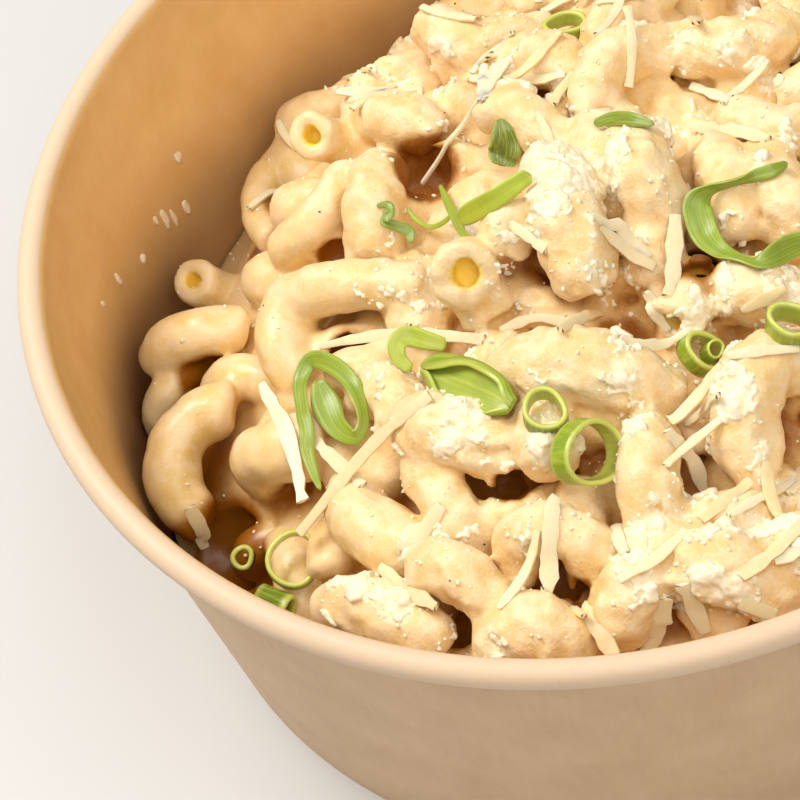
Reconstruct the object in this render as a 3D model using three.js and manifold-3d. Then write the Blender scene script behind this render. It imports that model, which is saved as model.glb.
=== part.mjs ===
// Macaroni and cheese in a round kraft paper bowl, topped with spring onion and shredded hard cheese.
// Millimetres, +Z up. The origin is the centre of the bowl's underside.

import * as THREE from 'three';
import { mergeVertices } from 'three/addons/utils/BufferGeometryUtils.js';
import Module from 'manifold-3d';

// ---------------------------------------------------------------- driving dimensions

// Bowl: a conical wall with a rolled rim, and a recessed base disc crimped into its foot.
const RIM_RADIUS = 75;
const BOWL_HEIGHT = 60;
const FOOT_RADIUS = 64;
const PAPER = 0.6;
const ROLL_HALF_WIDTH = 1.85;
const ROLL_HALF_HEIGHT = 1.8;
const ROLL_START_ANGLE = -90;
const ROLL_STEPS = 6;
const HEM_HEIGHT = 5;
const BASE_RISE = 5.6;
const SKIRT_THICKNESS = 0.5;
const CLEARANCE = 0.3;
const BOWL_SIDES = 48;

// Core of the heap: its level along the wall by azimuth in degrees, rising to a crown.
const WALL_LEVELS = [
  [0, 43], [50, 35], [90, 28], [125, 21], [150, 19], [175, 21], [200, 20],
  [212, 25], [225, 34], [240, 41], [260, 46], [300, 48], [330, 46], [360, 43],
];
const CROWN = { x: 8, y: 2, level: 56 };
const DOME_POWER = 2.2;
const LEVEL_RADIUS = 66;
const CORE_RINGS = [0.25, 0.5, 0.72, 0.88, 1];
const CORE_SIDES = 24;
const HEAP_CEILING = 85;
const WELD_DISTANCE = 1e-5;

// Macaroni: a bent tube, given by three points on its middle line and its width across.
const BORE_RATIO = 0.45;
const BORE_DEPTH = 3.5;
const LARGEST_BORE_SHARE = 0.5;
const ELBOW_SIDES = 6;
const STEP_SWEEP = 45;
const OPEN = true;
const ELBOWS = [
  // along the left wall
  [[-41.5, 44.5, 27], [-45.5, 35, 30], [-43.5, 25.5, 32], 5.2],
  [[-35, 29.5, 47.5], [-29.5, 31, 41.5], [-23.5, 25.5, 41], 6.4, OPEN],
  [[-41.5, 17, 40], [-35.5, 16, 46], [-30.5, 21, 47], 6.4],
  [[-56.5, 25.5, 28], [-54, 26, 24], [-50, 24.5, 22], 6.4, OPEN],
  [[-62, 12, 28], [-55.5, 10.5, 34], [-49.5, 10, 33], 7.2],
  [[-63.5, 5, 22], [-61.5, 7, 28], [-56.5, 10.5, 26], 5.2],
  [[-52, -4, 34], [-61.5, -8.5, 32], [-58, -16.5, 28], 7.8],
  [[-54, 3, 29], [-49, 1, 34], [-44, -3, 31], 6.6],
  [[-40, -18.5, 41], [-48, -15.5, 38], [-47.5, -12, 29], 8.6],
  [[-53.5, -21.5, 22], [-50.5, -20.5, 26], [-47.5, -20.5, 23], 5.8],
  // left slope
  [[-28, 7.5, 46], [-28, 11, 50], [-26, 18.5, 47], 8.4],
  [[-23, -3.5, 50], [-32.5, 0.5, 49], [-42.5, 4.5, 43], 7.2],
  [[-39, 4.5, 45], [-42.5, 1, 43], [-40.5, -7, 40], 8],
  [[-36, -8, 42], [-31, -11, 46], [-26, -9, 44], 6],
  [[-33, -15, 44], [-29, -20, 48], [-30, -26, 44], 7.2],
  [[-27, 33, 42], [-22, 28, 48], [-18, 24, 47], 7],
  [[-36, -27.5, 41], [-35, -36, 45], [-29.5, -41, 44], 9],
  // crest
  [[-17, -11.5, 60.5], [-16.5, -9, 55.5], [-15, -12, 50.5], 8.4, OPEN],
  [[-12, -6.5, 58], [-8, -2.5, 60], [-5, 1, 56], 7.4, OPEN],
  [[-4, 2, 60], [-3, -8, 62], [-2, -15.5, 57], 9],
  [[8, 4.5, 57], [8, -2, 62], [9, -7.5, 57], 8.2],
  [[3, 11, 55], [3, 3, 58], [3, -4, 55], 7.6],
  [[-10, 21, 53], [-5, 15, 56], [-2, 9, 53], 7],
  [[17, 4, 55], [18, -4, 58], [18, -11, 55], 7],
  [[23, 0, 55], [24, -8, 58], [25, -13, 53], 7.4],
  [[21, 9, 54], [26, 4, 57], [32, 5, 52], 7],
  [[7, 1, 54], [7, -7, 57], [7, -14, 54], 7.2],
  [[12, -18, 53], [17, -21, 57], [23, -23, 53], 8],
  [[7, -24.5, 58], [9.5, -21, 57], [11.5, -15, 53], 7.2, OPEN],
  [[-14, -25, 54], [-4, -29, 59], [4, -33, 53], 9],
  [[-8, -29, 49], [-4, -33, 53], [0, -31, 50], 7],
  // front slope
  [[22.5, -34.5, 55], [13.5, -38, 58], [15, -44, 52], 8.6],
  [[2, -38, 54], [0, -46.5, 56], [0, -50, 49], 7.6],
  [[-11, -40, 56], [-11, -34, 55], [-9, -29, 51], 8, OPEN],
  [[-26, -25, 49], [-21, -32, 54], [-15, -34, 51], 8.6],
  [[-26.5, -30.5, 47], [-25, -37.5, 49], [-24, -41.5, 46], 7.4],
  [[-23, -38, 43], [-18, -41, 47], [-12, -40, 46], 7.2],
  [[-29, -46, 48], [-24, -50.5, 51], [-20, -54.5, 47], 6.8],
  [[-16, -49, 46], [-11.5, -48.5, 54], [-8.5, -52, 48], 6.6],
  [[0, -48, 49], [6, -51, 52], [13, -51, 50], 7.4],
  [[26, -42, 52], [30, -36, 55], [28, -29, 52], 7.8],
  // along the front wall
  [[-20.5, -59.5, 44], [-16, -59.5, 50], [-14, -62, 45], 8],
  [[-41.5, -42.5, 38], [-35, -49, 45], [-29, -55, 43], 7.8],
  [[-8, -58.5, 46], [-3, -56.5, 52], [1.5, -51, 49], 8.4],
  [[1, -56, 50], [6, -58, 53], [12, -61, 47], 8.6],
  [[11, -53, 47], [16, -57, 52], [22, -53, 48], 7.6],
];

// More macaroni covers the rest of the heap: the back, and the right.
const SEED = 20240;
const DRAWS = 2500;
const SPREAD_RADIUS = 62;
const SPACING = 8.8;
const BACK_LINE = { slope: 0.5, offset: 25.5 };
const RIGHT_LINE = { slope: -0.2, offset: 32 };
const BEND_RADIUS = [6, 8];
const HALF_SWEEP = [0.95, 1.25];
const ACROSS = [7, 8.4];
const CROWN_LIFT = [1.2, 3];
const TILT = [0.25, 1.35];
const DRAWN_OPEN = 0.3;

// Spring onion. A ring: centre, axis, outer radius, length. A strip: points of its middle line,
// each with its width, and its twist about that line in degrees (0 lies flat, 90 stands on edge).
const RING_WALL = 0.8;
const RING_SIDES = 10;
const CORE_LENGTH_SHARE = 0.8;
const STRIP_THICKNESS = 0.5;
const ONION_RINGS = {
  scallion_ring_small: { at: [-10.5, -36, 60.9], axis: [0.1, -0.1, 1], radius: 2.9, length: 2.3 },
  scallion_ring_large: { at: [-6.4, -42.2, 59.4], axis: [0.72, -0.63, 0.55], radius: 4.3, length: 3 },
  scallion_ring_cored: {
    at: [9.7, -28.8, 56.6], axis: [0.54, -0.31, 0.78], radius: 2.8, length: 2.6, core: 1.2,
  },
  scallion_ring_right: { at: [20.6, -32.6, 63], axis: [0.16, -0.13, 0.98], radius: 2.8, length: 3.6 },
  scallion_ring_tiny: { at: [-53.8, -25.6, 30.6], axis: [0, -0.5, 0.87], radius: 1.6, length: 1.8 },
  scallion_ring_thin: { at: [-46.6, -31.8, 36.4], axis: [0.1, -0.4, 0.9], radius: 3.6, length: 1.8 },
  scallion_ring_back: { at: [2, 35, 51.4], axis: [0.1, 0.2, 1], radius: 3, length: 2.2 },
  scallion_ring_far: { at: [38, 20, 56.2], axis: [0.3, 0.1, 0.95], radius: 3.6, length: 2.4 },
  scallion_ring_side: { at: [50, -16, 51], axis: [0.3, -0.1, 0.95], radius: 2.6, length: 2 },
  scallion_chunk: { at: [-50.2, -35.6, 33], axis: [0.62, -0.7, 0.35], radius: 1.9, length: 6 },
};
const ONION_STRIPS = {
  scallion_ribbon: [
    [25.4, -6.2, 62, 0.8, 40], [23.4, -7.4, 62.6, 1.8, 40], [21.4, -7.4, 62.4, 1.7, 45],
    [19.4, -7.4, 62.2, 1.7, 95], [17.3, -7.6, 62.2, 1.8, 100], [15, -7.6, 61.8, 2.3, 80],
    [13.3, -9, 61.2, 3.7, 20], [13.2, -11.3, 60.4, 3.8, 0], [13.6, -13.8, 60, 3.5, -10],
    [14.7, -16.6, 60.6, 2.5, -10], [16.3, -19, 61.6, 2, 20], [17.9, -20.7, 62.1, 2, 25],
    [19.6, -21.1, 62.2, 2.3, -20], [21.6, -19.9, 61.6, 3.1, -40], [23.8, -18, 60.2, 3.1, -40],
    [26.1, -17.2, 59.4, 2, -40],
  ],
  scallion_twist: [
    [-40.8, -28.6, 45.4, 0.6, 0], [-41.4, -25.1, 45.2, 1.4, 0], [-41.7, -22, 45.6, 1.8, -5],
    [-41.3, -19.5, 46.4, 2, 0], [-41.5, -15.1, 46.2, 2, 25], [-41.2, -10.7, 45.8, 2.1, 5],
    [-39.3, -8.7, 46.8, 2.4, -35], [-36.6, -11.8, 48.8, 2.5, -25], [-34.5, -15.8, 49.8, 2.3, -10],
    [-33.8, -19.2, 49.4, 2, 30], [-33.9, -21.8, 48.2, 1.7, 40], [-35.3, -23, 47.4, 2.1, 45],
    [-37.5, -19.4, 45.8, 3, 15], [-38.5, -15.2, 45.6, 3.8, 5], [-39, -11.8, 46.4, 1.7, 0],
  ],
  scallion_oval: [
    [-24.8, -17.5, 51.5, 1.7, -40], [-23.1, -19.5, 53, 4.2, -35], [-21.3, -22.4, 54.4, 5.8, -30],
    [-19.4, -25.4, 56, 6.5, -30], [-17.5, -28.3, 57.6, 6.2, -30], [-15.8, -30.6, 58.4, 4.8, -25],
    [-14.3, -32.2, 58.6, 2.3, -25],
  ],
  scallion_leaf_dark: [
    [-9.1, 14.9, 58.4, 1.1, 0], [-9, 13.4, 57.5, 3.1, 5], [-9.1, 12.2, 56, 4.4, 15],
    [-9.6, 11.5, 54.6, 4, 20], [-10, 10.7, 54, 2.8, 25],
  ],
  scallion_leaf_back: [
    [2.8, 6.9, 62.4, 1.1, -40], [5.2, 6.2, 63.4, 1.8, -40], [7.6, 3.6, 65.4, 1.8, -35],
    [10.2, 1.4, 66, 0.8, -30],
  ],
  scallion_curl: [
    [-27.1, 8.2, 54.4, 0.7, -35], [-25.6, 8, 54.4, 1.1, -25], [-25.6, 6.7, 54.2, 1.4, 15],
    [-26.5, 5.9, 53.6, 1.3, -10], [-25.1, 5.5, 52.8, 1.4, -35], [-23.7, 4.7, 52, 1.6, -15],
    [-23.6, 3.1, 51.6, 0.6, 0],
  ],
  scallion_leaf_side: [
    [39, -14, 54.4, 1.6, -25], [42.6, -8.6, 58.6, 3, -20], [46, -2.6, 57.4, 3, -25],
    [47.4, 3, 56, 1.4, -20],
  ],
  scallion_strip_back: [
    [15, 38, 51.6, 1.6, -40], [19, 39.6, 52.6, 2.6, -35], [23, 39.4, 52.2, 2.6, -35],
    [26.4, 37, 51.8, 1.4, -30],
  ],
  scallion_sliver: [
    [-18.6, 11.6, 52, 0.5, 0], [-18, 7.5, 53.2, 1.1, -5], [-17.3, 3, 55, 1.3, -5],
    [-16.5, -2.8, 58.2, 1.1, -10], [-15.1, -8.2, 61.6, 0.6, -15],
  ],
  scallion_strip: [
    [-6.4, -3.4, 67.2, 2, 40], [-9, -3.8, 66, 2.5, 40], [-12.1, -4, 64.4, 2.7, 50],
    [-14.9, -2.5, 61.4, 2.8, 60], [-16.6, -1.4, 59.4, 1.8, 60],
  ],
  scallion_ring_pale: [
    [-21.5, -15.2, 52, 1.7, 35], [-23.6, -14.4, 52.6, 2.4, 35], [-25.9, -13.3, 53, 2.7, 35],
    [-27.5, -14, 53, 2.5, 25], [-27.7, -15.6, 52, 2, -10], [-26.5, -17.1, 51, 1.4, -20],
  ],
};
const SLIVER_ARM = [
  [-23.5, 9.9, 50.8, 0.6, -10], [-22.6, 7.9, 50.4, 0.7, -20], [-20.9, 5.5, 51.2, 0.7, -40],
  [-19.1, 4.5, 52.6, 0.7, -45], [-17.5, 3.7, 54.8, 0.6, -30],
];
const OVAL_THICKNESS = 1.2;

// Shreds of hard cheese: both ends of each.
const SHRED_WIDTH = 1.9;
const SHRED_THICKNESS = 0.8;
const SHREDS = [
  [[-25.4, -39.2], [-30.8, -46.4]], [[-41.4, -16.6], [-35.3, -30.9]], [[-47, -5.6], [-43.7, -21.4]],
  [[-24.4, -24.3], [-33.5, -22.4]], [[-38, -23], [-44.9, -27.4]], [[-38.4, -3.9], [-27.3, -9.5]],
  [[-27, -9.5], [-16.5, -18.1]], [[-11.6, -45.7], [-15.3, -53]], [[-0.2, -57.5], [-4.4, -62]],
  [[1.3, -56.2], [2.9, -62]], [[-10.9, -55.7], [-8.6, -61.7]], [[3.3, -40.6], [6.3, -45.9]],
  [[0.1, -10.8], [6.1, -13.4]], [[10.3, -8.9], [7.1, -19.1]], [[21.2, -24.2], [15.7, -24.6]],
  [[15.1, 8.3], [23.8, -1.6]], [[12.3, -34], [21, -34.4]], [[-34.4, -44.7], [-28.4, -52.1]],
  [[5, -52.5], [12, -46.5]], [[38, 8], [30, 14]], [[44, -14], [38, -22]], [[24, 32], [15, 35]],
  [[-6, 34], [-16, 40]], [[46, 18], [40, 26]],
];

// ---------------------------------------------------------------- solids

const wasm = await Module();
wasm.setup();

const vec = ([x, y, z]) => new THREE.Vector3(x, y, z);
const radians = THREE.MathUtils.degToRad;

// Six times the volume that triangles enclose: negative where their faces point inwards.
function signedVolume(positions, triangles) {
  const [a, b, c] = [new THREE.Vector3(), new THREE.Vector3(), new THREE.Vector3()];
  let total = 0;
  for (let i = 0; i < triangles.length; i += 3) {
    a.fromArray(positions, 3 * triangles[i]);
    b.fromArray(positions, 3 * triangles[i + 1]);
    c.fromArray(positions, 3 * triangles[i + 2]);
    total += a.dot(b.cross(c));
  }
  return total;
}

// A closed geometry as a solid, with its faces pointing out.
function solid(geometry) {
  const bare = new THREE.BufferGeometry();
  bare.setAttribute('position', geometry.getAttribute('position'));
  if (geometry.index) bare.setIndex(geometry.index);
  const merged = mergeVertices(bare, WELD_DISTANCE);
  const vertProperties = new Float32Array(merged.getAttribute('position').array);
  const triVerts = new Uint32Array(merged.index.array);
  if (signedVolume(vertProperties, triVerts) < 0) triVerts.reverse();
  return new wasm.Manifold(new wasm.Mesh({ numProp: 3, vertProperties, triVerts }));
}

const join = (solids) => solids.reduce((sum, next) => sum.add(next));

// A profile of [radius, height] points turned about the Z axis.
function turned(profile, sides = BOWL_SIDES) {
  const points = profile.map(([radius, height]) => new THREE.Vector2(radius, height));
  return new THREE.LatheGeometry(points, sides).rotateX(Math.PI / 2);
}

// ---------------------------------------------------------------- bowl

const ROLL_CENTRE = { radius: RIM_RADIUS - ROLL_HALF_WIDTH, height: BOWL_HEIGHT - ROLL_HALF_HEIGHT };
const INNER_TOP_RADIUS = RIM_RADIUS - 2 * ROLL_HALF_WIDTH;
const WALL_SLOPE = (INNER_TOP_RADIUS + PAPER - FOOT_RADIUS) / ROLL_CENTRE.height;

const outerRadius = (height) => FOOT_RADIUS + WALL_SLOPE * height;
const innerRadius = (height) => outerRadius(height) - PAPER;

function bowlWall() {
  const roll = [];
  for (let i = 0; i <= ROLL_STEPS; i++) {
    const angle = radians(ROLL_START_ANGLE + (180 - ROLL_START_ANGLE) * i / ROLL_STEPS);
    const radius = ROLL_CENTRE.radius + ROLL_HALF_WIDTH * Math.cos(angle);
    roll.push([radius, ROLL_CENTRE.height + ROLL_HALF_HEIGHT * Math.sin(angle)]);
  }
  const underRoll = roll[0][1];
  const hemOuter = innerRadius(PAPER) - 2 * CLEARANCE - SKIRT_THICKNESS;
  const hemInner = hemOuter - PAPER;
  return turned([
    [FOOT_RADIUS, 0], [outerRadius(underRoll), underRoll], ...roll,
    [innerRadius(PAPER), PAPER], [hemOuter, PAPER], [hemOuter, HEM_HEIGHT],
    [hemInner, HEM_HEIGHT], [hemInner, 0], [FOOT_RADIUS, 0],
  ]);
}

const BASE_TOP = BASE_RISE + PAPER;

function bowlBase() {
  const skirtFoot = PAPER + CLEARANCE;
  const skirtOuter = innerRadius(skirtFoot) - CLEARANCE;
  const skirtInner = skirtOuter - SKIRT_THICKNESS;
  return turned([
    [0, BASE_RISE], [skirtInner, BASE_RISE], [skirtInner, skirtFoot], [skirtOuter, skirtFoot],
    [innerRadius(BASE_TOP) - CLEARANCE, BASE_TOP], [0, BASE_TOP],
  ]);
}

// The space in the bowl, and straight up over it, that the food may fill.
function foodSpace() {
  const floor = BASE_TOP + CLEARANCE;
  const mouth = INNER_TOP_RADIUS - CLEARANCE;
  return turned([
    [0, floor], [innerRadius(floor) - CLEARANCE, floor], [mouth, ROLL_CENTRE.height],
    [mouth, HEAP_CEILING], [0, HEAP_CEILING],
  ], CORE_SIDES);
}

// ---------------------------------------------------------------- core of the heap

function wallLevel(azimuth) {
  const angle = THREE.MathUtils.euclideanModulo(azimuth, 360);
  const next = WALL_LEVELS.findIndex(([limit]) => limit >= angle);
  const [from, low] = WALL_LEVELS[Math.max(next - 1, 0)];
  const [to, high] = WALL_LEVELS[Math.max(next, 1)];
  return low + (high - low) * THREE.MathUtils.smoothstep(angle, from, to);
}

// Height of the core's top: a dome from the crown down to the level at the wall.
function coreHeight(x, y) {
  const dx = x - CROWN.x;
  const dy = y - CROWN.y;
  const away = Math.hypot(dx, dy);
  if (away === 0) return CROWN.level;
  const along = (CROWN.x * dx + CROWN.y * dy) / away;
  const crownRadius = Math.hypot(CROWN.x, CROWN.y);
  const reach = Math.sqrt(along ** 2 - crownRadius ** 2 + LEVEL_RADIUS ** 2) - along;
  const wallX = CROWN.x + dx / away * reach;
  const wallY = CROWN.y + dy / away * reach;
  const level = wallLevel(THREE.MathUtils.radToDeg(Math.atan2(wallY, wallX)));
  return CROWN.level + (level - CROWN.level) * (away / reach) ** DOME_POWER;
}

function heapCore() {
  const floor = BASE_TOP + CLEARANCE;
  const positions = [0, 0, floor, 0, 0, coreHeight(0, 0)];
  const addRing = (radiusAt, heightAt) => {
    for (let i = 0; i < CORE_SIDES; i++) {
      const angle = 2 * Math.PI * i / CORE_SIDES;
      const radius = radiusAt(angle);
      const [x, y] = [radius * Math.cos(angle), radius * Math.sin(angle)];
      positions.push(x, y, heightAt(x, y));
    }
  };
  const edgeRadius = (angle) => {
    const level = coreHeight(LEVEL_RADIUS * Math.cos(angle), LEVEL_RADIUS * Math.sin(angle));
    return innerRadius(level) - CLEARANCE;
  };
  addRing(() => innerRadius(floor) - CLEARANCE, () => floor);
  for (const fraction of CORE_RINGS.toReversed()) {
    addRing((angle) => fraction * edgeRadius(angle), coreHeight);
  }
  const ring = (k, i) => 2 + k * CORE_SIDES + i % CORE_SIDES;
  const last = CORE_RINGS.length;
  const index = [];
  for (let i = 0; i < CORE_SIDES; i++) {
    index.push(0, ring(0, i + 1), ring(0, i));
    index.push(1, ring(last, i), ring(last, i + 1));
    for (let k = 0; k < last; k++) {
      index.push(ring(k, i), ring(k, i + 1), ring(k + 1, i + 1));
      index.push(ring(k, i), ring(k + 1, i + 1), ring(k + 1, i));
    }
  }
  const geometry = new THREE.BufferGeometry();
  geometry.setAttribute('position', new THREE.Float32BufferAttribute(positions, 3));
  geometry.setIndex(index);
  return geometry;
}

// ---------------------------------------------------------------- macaroni

// The circular arc through three points.
class ArcThrough extends THREE.Curve {
  constructor(start, middle, end) {
    super();
    const toMiddle = middle.clone().sub(start);
    const toEnd = end.clone().sub(start);
    const normal = toMiddle.clone().cross(toEnd);
    const toCentre = toEnd.clone().cross(normal).multiplyScalar(toMiddle.lengthSq());
    toCentre.add(normal.clone().cross(toMiddle).multiplyScalar(toEnd.lengthSq()));
    toCentre.divideScalar(2 * normal.lengthSq());
    this.centre = start.clone().add(toCentre);
    this.radius = toCentre.length();
    this.out = start.clone().sub(this.centre).normalize();
    this.ahead = normal.normalize().cross(this.out);
    const spoke = end.clone().sub(this.centre);
    const angle = Math.atan2(spoke.dot(this.ahead), spoke.dot(this.out));
    this.sweep = THREE.MathUtils.euclideanModulo(angle, 2 * Math.PI);
  }

  getPoint(t, target = new THREE.Vector3()) {
    const angle = this.sweep * t;
    return target.copy(this.centre)
      .addScaledVector(this.out, this.radius * Math.cos(angle))
      .addScaledVector(this.ahead, this.radius * Math.sin(angle));
  }
}

// A rod along a path, its section a polygon with the area of the circle of that radius.
function rod(path, radius, steps) {
  const turn = 2 * Math.PI / ELBOW_SIDES;
  const reach = radius * Math.sqrt(turn / Math.sin(turn));
  const corner = (_, i) => new THREE.Vector2(reach * Math.cos(turn * i), reach * Math.sin(turn * i));
  const section = new THREE.Shape(Array.from({ length: ELBOW_SIDES }, corner));
  return new THREE.ExtrudeGeometry(section, { extrudePath: path, steps, bevelEnabled: false });
}

// The first stretch of an elbow's bore, from just outside its cut end.
function boreOf({ arc, across }) {
  const inside = arc.getPoint(Math.min(BORE_DEPTH / (arc.radius * arc.sweep), LARGEST_BORE_SHARE));
  const mouth = arc.getPoint(0);
  const outside = mouth.clone().add(mouth.clone().sub(inside).setLength(CLEARANCE));
  return rod(new THREE.LineCurve3(outside, inside), BORE_RATIO * across / 2, 1);
}

const DRAW_FACTOR = 1664525;
const DRAW_STEP = 1013904223;
const DRAW_RANGE = 2 ** 32;

// Draws from 0 to 1, always the same run for the same seed.
function seededDraws(seed) {
  let state = seed;
  return () => {
    state = (state * DRAW_FACTOR + DRAW_STEP) % DRAW_RANGE;
    return state / DRAW_RANGE;
  };
}

const isUnplaced = (x, y) => y + BACK_LINE.slope * x > BACK_LINE.offset
  || x + RIGHT_LINE.slope * y > RIGHT_LINE.offset;

// An elbow of drawn size and attitude, with the middle of its bend over the point x, y.
function drawnElbow(x, y, draw) {
  const between = ([low, high]) => low + (high - low) * draw();
  const bend = between(BEND_RADIUS);
  const sweep = between(HALF_SWEEP);
  const across = between(ACROSS);
  const heading = 2 * Math.PI * draw();
  const tilt = between(TILT);
  const middle = new THREE.Vector3(x, y, coreHeight(x, y) + between(CROWN_LIFT));
  const bulge = new THREE.Vector3(
    Math.cos(tilt) * Math.cos(heading), Math.cos(tilt) * Math.sin(heading), Math.sin(tilt));
  const along = new THREE.Vector3(-Math.sin(heading), Math.cos(heading), 0);
  const end = (side) => middle.clone()
    .addScaledVector(bulge, bend * (Math.cos(sweep) - 1))
    .addScaledVector(along, side * bend * Math.sin(sweep));
  return { points: [end(-1), middle, end(1)], across, open: draw() < DRAWN_OPEN };
}

function allElbows() {
  const elbows = ELBOWS.map(([start, middle, end, across, open]) => (
    { points: [start, middle, end].map(vec), across, open }));
  const draw = seededDraws(SEED);
  for (let i = 0; i < DRAWS; i++) {
    const radius = SPREAD_RADIUS * Math.sqrt(draw());
    const azimuth = 2 * Math.PI * draw();
    const [x, y] = [radius * Math.cos(azimuth), radius * Math.sin(azimuth)];
    const candidate = drawnElbow(x, y, draw);
    const middle = candidate.points[1];
    const isClear = elbows.every(({ points }) => points.every((point) => point.distanceTo(middle) > SPACING));
    const isInside = candidate.points.every((point) => {
      const wall = innerRadius(Math.min(point.z, ROLL_CENTRE.height));
      return Math.hypot(point.x, point.y) + candidate.across / 2 < wall;
    });
    if (isUnplaced(x, y) && isClear && isInside) elbows.push(candidate);
  }
  for (const elbow of elbows) elbow.arc = new ArcThrough(...elbow.points);
  return elbows;
}

// ---------------------------------------------------------------- strips and rings

// A thin strip along rows of [x, y, z, width, twist], grown all round by a margin.
function strip(rows, thickness, stations, margin = 0) {
  const path = new THREE.CatmullRomCurve3(rows.map(vec));
  const last = rows.length - 1;
  const positions = [];
  for (let i = 0; i < stations; i++) {
    const t = i / (stations - 1);
    const row = Math.min(Math.floor(t * last), last - 1);
    const blend = t * last - row;
    const width = THREE.MathUtils.lerp(rows[row][3], rows[row + 1][3], blend) + 2 * margin;
    const twist = radians(THREE.MathUtils.lerp(rows[row][4], rows[row + 1][4], blend));
    const tangent = path.getTangent(t);
    const flat = tangent.clone().cross(new THREE.Vector3(0, 0, 1)).normalize();
    const face = flat.clone().cross(tangent);
    const across = flat.clone().multiplyScalar(Math.cos(twist)).addScaledVector(face, Math.sin(twist));
    const normal = across.clone().cross(tangent).multiplyScalar(thickness / 2 + margin);
    across.multiplyScalar(width / 2);
    const overhang = margin * (i === 0 ? -1 : Number(i === stations - 1));
    const middle = path.getPoint(t).addScaledVector(tangent, overhang);
    for (const [side, up] of [[-1, -1], [1, -1], [1, 1], [-1, 1]]) {
      const corner = middle.clone().addScaledVector(across, side).addScaledVector(normal, up);
      positions.push(corner.x, corner.y, corner.z);
    }
  }
  const index = [0, 1, 2, 0, 2, 3];
  const end = 4 * (stations - 1);
  index.push(end, end + 2, end + 1, end, end + 3, end + 2);
  for (let i = 0; i < end; i += 4) {
    for (let k = 0; k < 4; k++) {
      const [a, b] = [i + k, i + (k + 1) % 4];
      index.push(a, a + 4, b + 4, a, b + 4, b);
    }
  }
  const geometry = new THREE.BufferGeometry();
  geometry.setAttribute('position', new THREE.Float32BufferAttribute(positions, 3));
  geometry.setIndex(index);
  return geometry;
}

// A short tube about an axis, grown all round by a margin.
function ring({ at, axis, radius, length }, wall = RING_WALL, margin = 0) {
  const [inner, outer, half] = [radius - wall - margin, radius + margin, length / 2 + margin];
  const section = [[outer, -half], [outer, half], [inner, half], [inner, -half], [outer, -half]];
  const turn = new THREE.Quaternion().setFromUnitVectors(new THREE.Vector3(0, 0, 1), vec(axis).normalize());
  return turned(section, RING_SIDES).applyQuaternion(turn).translate(...at);
}

// The small inner leaf of a cored ring, touching the ring's wall.
function ringCore({ at, axis, radius, length, core }) {
  const [x, y, z] = at;
  const centre = [x + radius - RING_WALL / 2 - core, y, z];
  const leaf = { at: centre, axis, radius: core, length: CORE_LENGTH_SHARE * length };
  return ring(leaf, RING_WALL / 2);
}

function scallions(margin = 0) {
  const pieces = {};
  for (const [name, row] of Object.entries(ONION_RINGS)) {
    pieces[name] = solid(ring(row, RING_WALL, margin));
    if (row.core && margin === 0) pieces[name] = pieces[name].add(solid(ringCore(row)));
  }
  for (const [name, rows] of Object.entries(ONION_STRIPS)) {
    const thickness = name === 'scallion_oval' ? OVAL_THICKNESS : STRIP_THICKNESS;
    pieces[name] = solid(strip(rows, thickness, 2 * rows.length - 1, margin));
  }
  pieces.scallion_sliver = pieces.scallion_sliver.add(
    solid(strip(SLIVER_ARM, STRIP_THICKNESS, 2 * SLIVER_ARM.length - 1, margin)));
  return pieces;
}

// ---------------------------------------------------------------- heap

const ARC_SAMPLES = 8;

// Height of the macaroni or the core over a point.
function heapTop(elbows, x, y) {
  let top = coreHeight(x, y);
  for (const { arc, across } of elbows) {
    for (const centre of arc.getPoints(ARC_SAMPLES)) {
      const gap = (across / 2) ** 2 - (centre.x - x) ** 2 - (centre.y - y) ** 2;
      if (gap > 0) top = Math.max(top, centre.z + Math.sqrt(gap));
    }
  }
  return top;
}

// A straight shred lying on what is highest under its ends and its middle.
function shred([start, end], elbows) {
  const [x, y] = [(start[0] + end[0]) / 2, (start[1] + end[1]) / 2];
  const [from, to] = [heapTop(elbows, ...start), heapTop(elbows, ...end)];
  const lift = Math.max(0, heapTop(elbows, x, y) - (from + to) / 2);
  const rows = [[...start, from + lift, SHRED_WIDTH, 0], [...end, to + lift, SHRED_WIDTH, 0]];
  return strip(rows, SHRED_THICKNESS, rows.length);
}

function macaroniHeap() {
  const elbows = allElbows();
  const pieces = [heapCore()];
  for (const { arc, across } of elbows) {
    const steps = Math.max(2, Math.round(arc.sweep / radians(STEP_SWEEP)));
    pieces.push(rod(arc, across / 2, steps));
  }
  for (const ends of SHREDS) pieces.push(shred(ends, elbows));
  const bores = elbows.filter((elbow) => elbow.open).map(boreOf);
  const whole = join(pieces.map(solid))
    .subtract(join(bores.map(solid)))
    .subtract(join(Object.values(scallions(CLEARANCE))))
    .intersect(solid(foodSpace()));
  return whole.decompose().reduce((most, next) => (next.volume() > most.volume() ? next : most));
}

// ---------------------------------------------------------------- the object

const MATERIALS = {
  kraft: new THREE.MeshStandardMaterial({ color: 0xcfa06a, roughness: 0.75 }),
  macaroni: new THREE.MeshStandardMaterial({ color: 0xf0d29a, roughness: 0.45 }),
  scallion: new THREE.MeshStandardMaterial({ color: 0x8fb52c, roughness: 0.4 }),
};

const group = new THREE.Group();

function addPiece(name, piece, material) {
  const { numProp, vertProperties, triVerts } = piece.getMesh();
  const geometry = new THREE.BufferGeometry();
  geometry.setAttribute('position', new THREE.BufferAttribute(vertProperties, numProp));
  geometry.setIndex(new THREE.BufferAttribute(triVerts, 1));
  geometry.computeVertexNormals();
  const mesh = new THREE.Mesh(geometry, material);
  mesh.name = name;
  group.add(mesh);
}

addPiece('bowl_wall', solid(bowlWall()), MATERIALS.kraft);
addPiece('bowl_base', solid(bowlBase()), MATERIALS.kraft);
addPiece('macaroni_heap', macaroniHeap(), MATERIALS.macaroni);
for (const [name, piece] of Object.entries(scallions())) addPiece(name, piece, MATERIALS.scallion);

export default group;
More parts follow.
